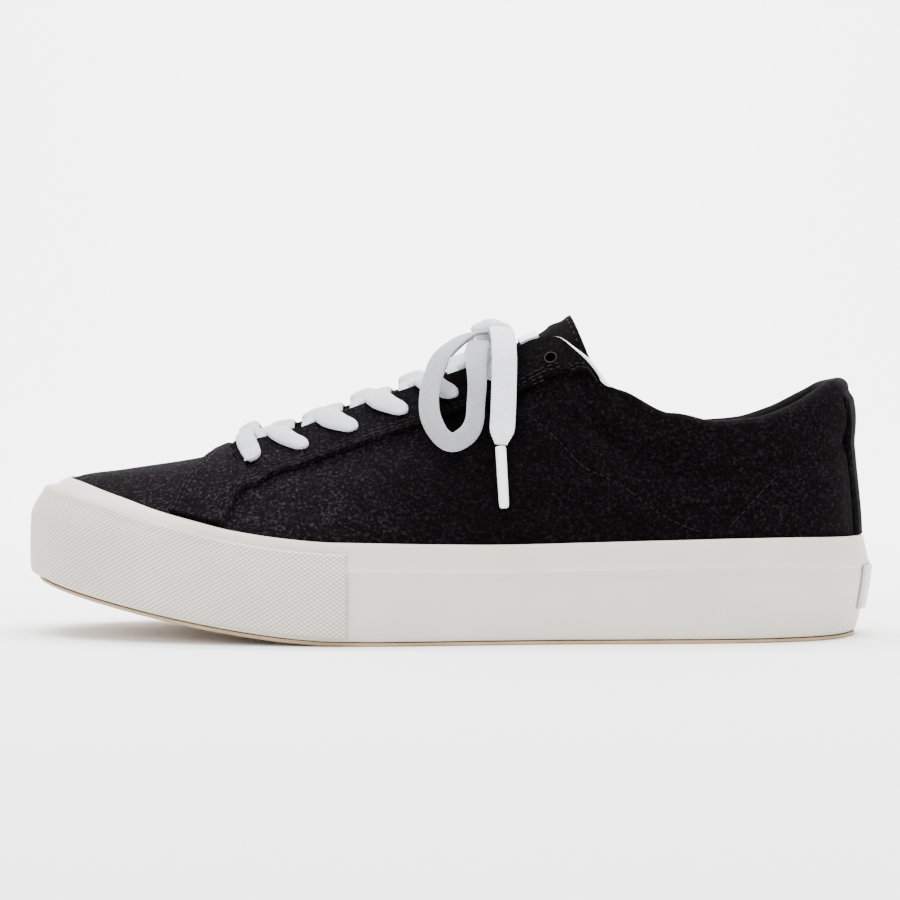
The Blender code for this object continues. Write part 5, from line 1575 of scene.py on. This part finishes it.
def eyelets():
    """Punched holes, as black discs of painted shade with a thin raised edge."""
    turns = np.linspace(0, 2 * math.pi, 29)[:-1]
    discs, rims = ([], []), ([], [])
    for side in (-1, 1):
        for number in range(1, EYELET_COUNT + 1):
            reach = np.array(eyelet_turn(number))
            height = below_top(side, reach, EYELET_EDGE)
            up = face_normal(side, reach, height)
            centre = upper_face(side, reach, height, -OVERLAY_GAP - OVERLAY_WALL)
            wide = unit(np.cross(up, np.array((0.0, 0.0, 1.0))))
            high = np.cross(up, wide)
            ring = wide * np.cos(turns)[:, None] + high * np.sin(turns)[:, None]
            base = len(discs[0])
            for lift in HOLE_LIFTS:
                discs[0].extend(centre + ring * EYELET_BORE / 2 + up * lift)
            count = len(turns)
            discs[1].append(tuple(base + index for index in range(count)))
            discs[1].append(tuple(base + count + index for index in reversed(range(count))))
            discs[1].extend((base + index, base + (index + 1) % count,
                             base + count + (index + 1) % count, base + count + index)
                            for index in range(count))
            base = len(rims[0])
            for angle in turns[::4]:
                out = EYELET_BORE / 2 + HOLE_RIM * (1 + math.cos(angle))
                rims[0].extend(centre + ring * out + up * (0.0001 + 0.00018 * math.sin(angle)))
            rounds = len(turns[::4])
            for step in range(rounds):
                after = (step + 1) % rounds
                rims[1].extend((base + step * count + index, base + step * count + (index + 1) % count,
                                base + after * count + (index + 1) % count,
                                base + after * count + index) for index in range(count))
    return mesh_piece("eyelet_holes", *discs, 30), mesh_piece("eyelet_edges", *rims, 80)


holes, edges = eyelets()
dress(holes, HOLE_SHADE, ())
dress(edges, EDGE_SUEDE, ())


BACKSTAY_TURN = 0.24
BACKSTAY_TOP = 0.985


def backstay():
    """Narrow strip up the back of the heel."""
    turns = np.linspace(-BACKSTAY_TURN, BACKSTAY_TURN, 31)
    heights = np.linspace(0.012, BACKSTAY_TOP, 64)
    fade = smooth((BACKSTAY_TOP - heights) / 0.07)
    inner, outer = [], []
    for turn in turns:
        side = -1 if turn < 0 else 1
        reach = np.full(len(heights), math.pi - max(abs(turn), 2e-4))
        thick = (GAP + OVERLAY_WALL * (0.2 + 0.8 * rolled((BACKSTAY_TURN - abs(turn)) / 0.03))) * fade
        base = upper_face(side, reach, heights, 0.0, False)
        normal = face_normal(side, reach, heights)
        inner.append(base - normal * 0.0003)
        outer.append(base + normal * thick[:, None])
    return slab("backstay_suede", outer, inner)


dress(backstay(), QUARTER_SUEDE, ("backstay",))


TONGUE_BEND = 0.70


def tongue():
    """Padded tongue under the throat."""
    across = np.concatenate((np.linspace(-1, -TONGUE_EDGE, 12),
                             np.linspace(-TONGUE_EDGE, TONGUE_EDGE, 49)[1:-1],
                             np.linspace(TONGUE_EDGE, 1, 12)))
    start, end = TONGUE_TABLE[1][0], TONGUE_TABLE[-1][0]
    shares = np.concatenate((np.linspace(start, TONGUE_BEND, 90), np.linspace(TONGUE_BEND, end, 40)[1:]))
    sections = tongue_face(shares[:, None], across[None, :])
    first = sections[0]
    tucked = []
    for part in (1.0, 0.75, 0.5, 0.25):
        shift = TONGUE_TUCK * part * np.array((-math.cos(THROAT_SLOPE), 0.0, -math.sin(THROAT_SLOPE)))
        shift[2] -= TONGUE_DIP * part
        middle = first[len(first) // 2, 1]
        moved = first.copy()
        moved[:, 1] = middle + (moved[:, 1] - middle) * (1 - TONGUE_NARROW * part)
        tucked.append(moved + shift)
    face = np.concatenate((np.array(tucked), sections))
    normals = grid_normals(face)
    if normals[60, 30][2] < 0:
        normals = -normals
    soft = 0.25 + 0.75 * rolled(from_ends(face.shape[1]) / 5.0)
    soft_tip = 0.35 + 0.65 * rolled(np.arange(face.shape[0])[::-1] / 5.0)
    drop = TONGUE_WALL * 0.5 * (1 - soft_tip)
    top = face - normals * drop[:, None, None]
    depth = TONGUE_WALL * soft[None, :] * soft_tip[:, None]
    back = top - normals * depth[..., None]
    return slab("tongue_padded", top, back)


tongue_piece = tongue()
dress(tongue_piece, TONGUE_CLOTH, ("tongue",))


def label():
    """Bare ribbon label over the tongue, close to its end."""
    shares = np.linspace(LABEL_SHARES[0], LABEL_SHARES[-1], 12)
    places = np.linspace(-LABEL_REACH, LABEL_REACH, 40)
    inner, outer = (above_tongue(shares[:, None], places[None, :], np.full((12, 40), lift))
                    for lift in (LABEL_GAP, LABEL_GAP + LABEL_WALL))
    return slab("tongue_label_ribbon", outer, inner)


dress(label(), LABEL_CLOTH, ("tongue_label",))

# Stage.
def stage_plane():
    """Pale floor that turns up into a backdrop."""
    points, faces = [], []
    profile = [(-3.0, 0.0), (1.2, 0.0)]
    for angle in np.linspace(0, math.pi / 2, 14)[1:]:
        profile.append((1.2 + 0.8 * math.sin(angle), 0.8 * (1 - math.cos(angle))))
    profile.append((2.0, 3.5))
    for y, z in profile:
        points += [(-3.5, y, z), (3.5, y, z)]
    for index in range(len(profile) - 1):
        faces.append((2 * index, 2 * index + 1, 2 * index + 3, 2 * index + 2))
    return mesh_piece("floor", points, faces, 60)


floor = stage_plane()
floor.data.materials.append(FLOOR_PAPER)

world = bpy.data.worlds.new("studio")
world.use_nodes = True
world.node_tree.nodes["Background"].inputs["Color"].default_value = (1.0, 1.0, 1.0, 1.0)
world.node_tree.nodes["Background"].inputs["Strength"].default_value = 1.0
bpy.context.scene.world = world

LIGHTS = (
    ("overhead_softbox", (0.0, -0.10, 1.3), (1.6, 1.2), 55.0, (0.0, 0.0, 0.05)),
    ("front_softbox", (-0.7, -1.3, 0.8), (1.0, 0.8), 14.0, (0.0, 0.0, 0.06)),
    ("side_softbox", (1.0, -0.9, 0.6), (0.8, 0.8), 7.0, (0.05, 0.0, 0.06)),
    ("backdrop_softbox", (0.0, 0.7, 1.6), (2.4, 0.8), 160.0, (0.0, 2.0, 0.4)),
)
for name, place, size, power, target in LIGHTS:
    lamp = bpy.data.lights.new(name, "AREA")
    lamp.shape = "RECTANGLE"
    lamp.size, lamp.size_y = size
    lamp.energy = power
    holder = linked(name, lamp)
    holder.location = place
    aim = np.array(target) - np.array(place)
    holder.rotation_euler = Vector(aim).to_track_quat("-Z", "Y").to_euler()
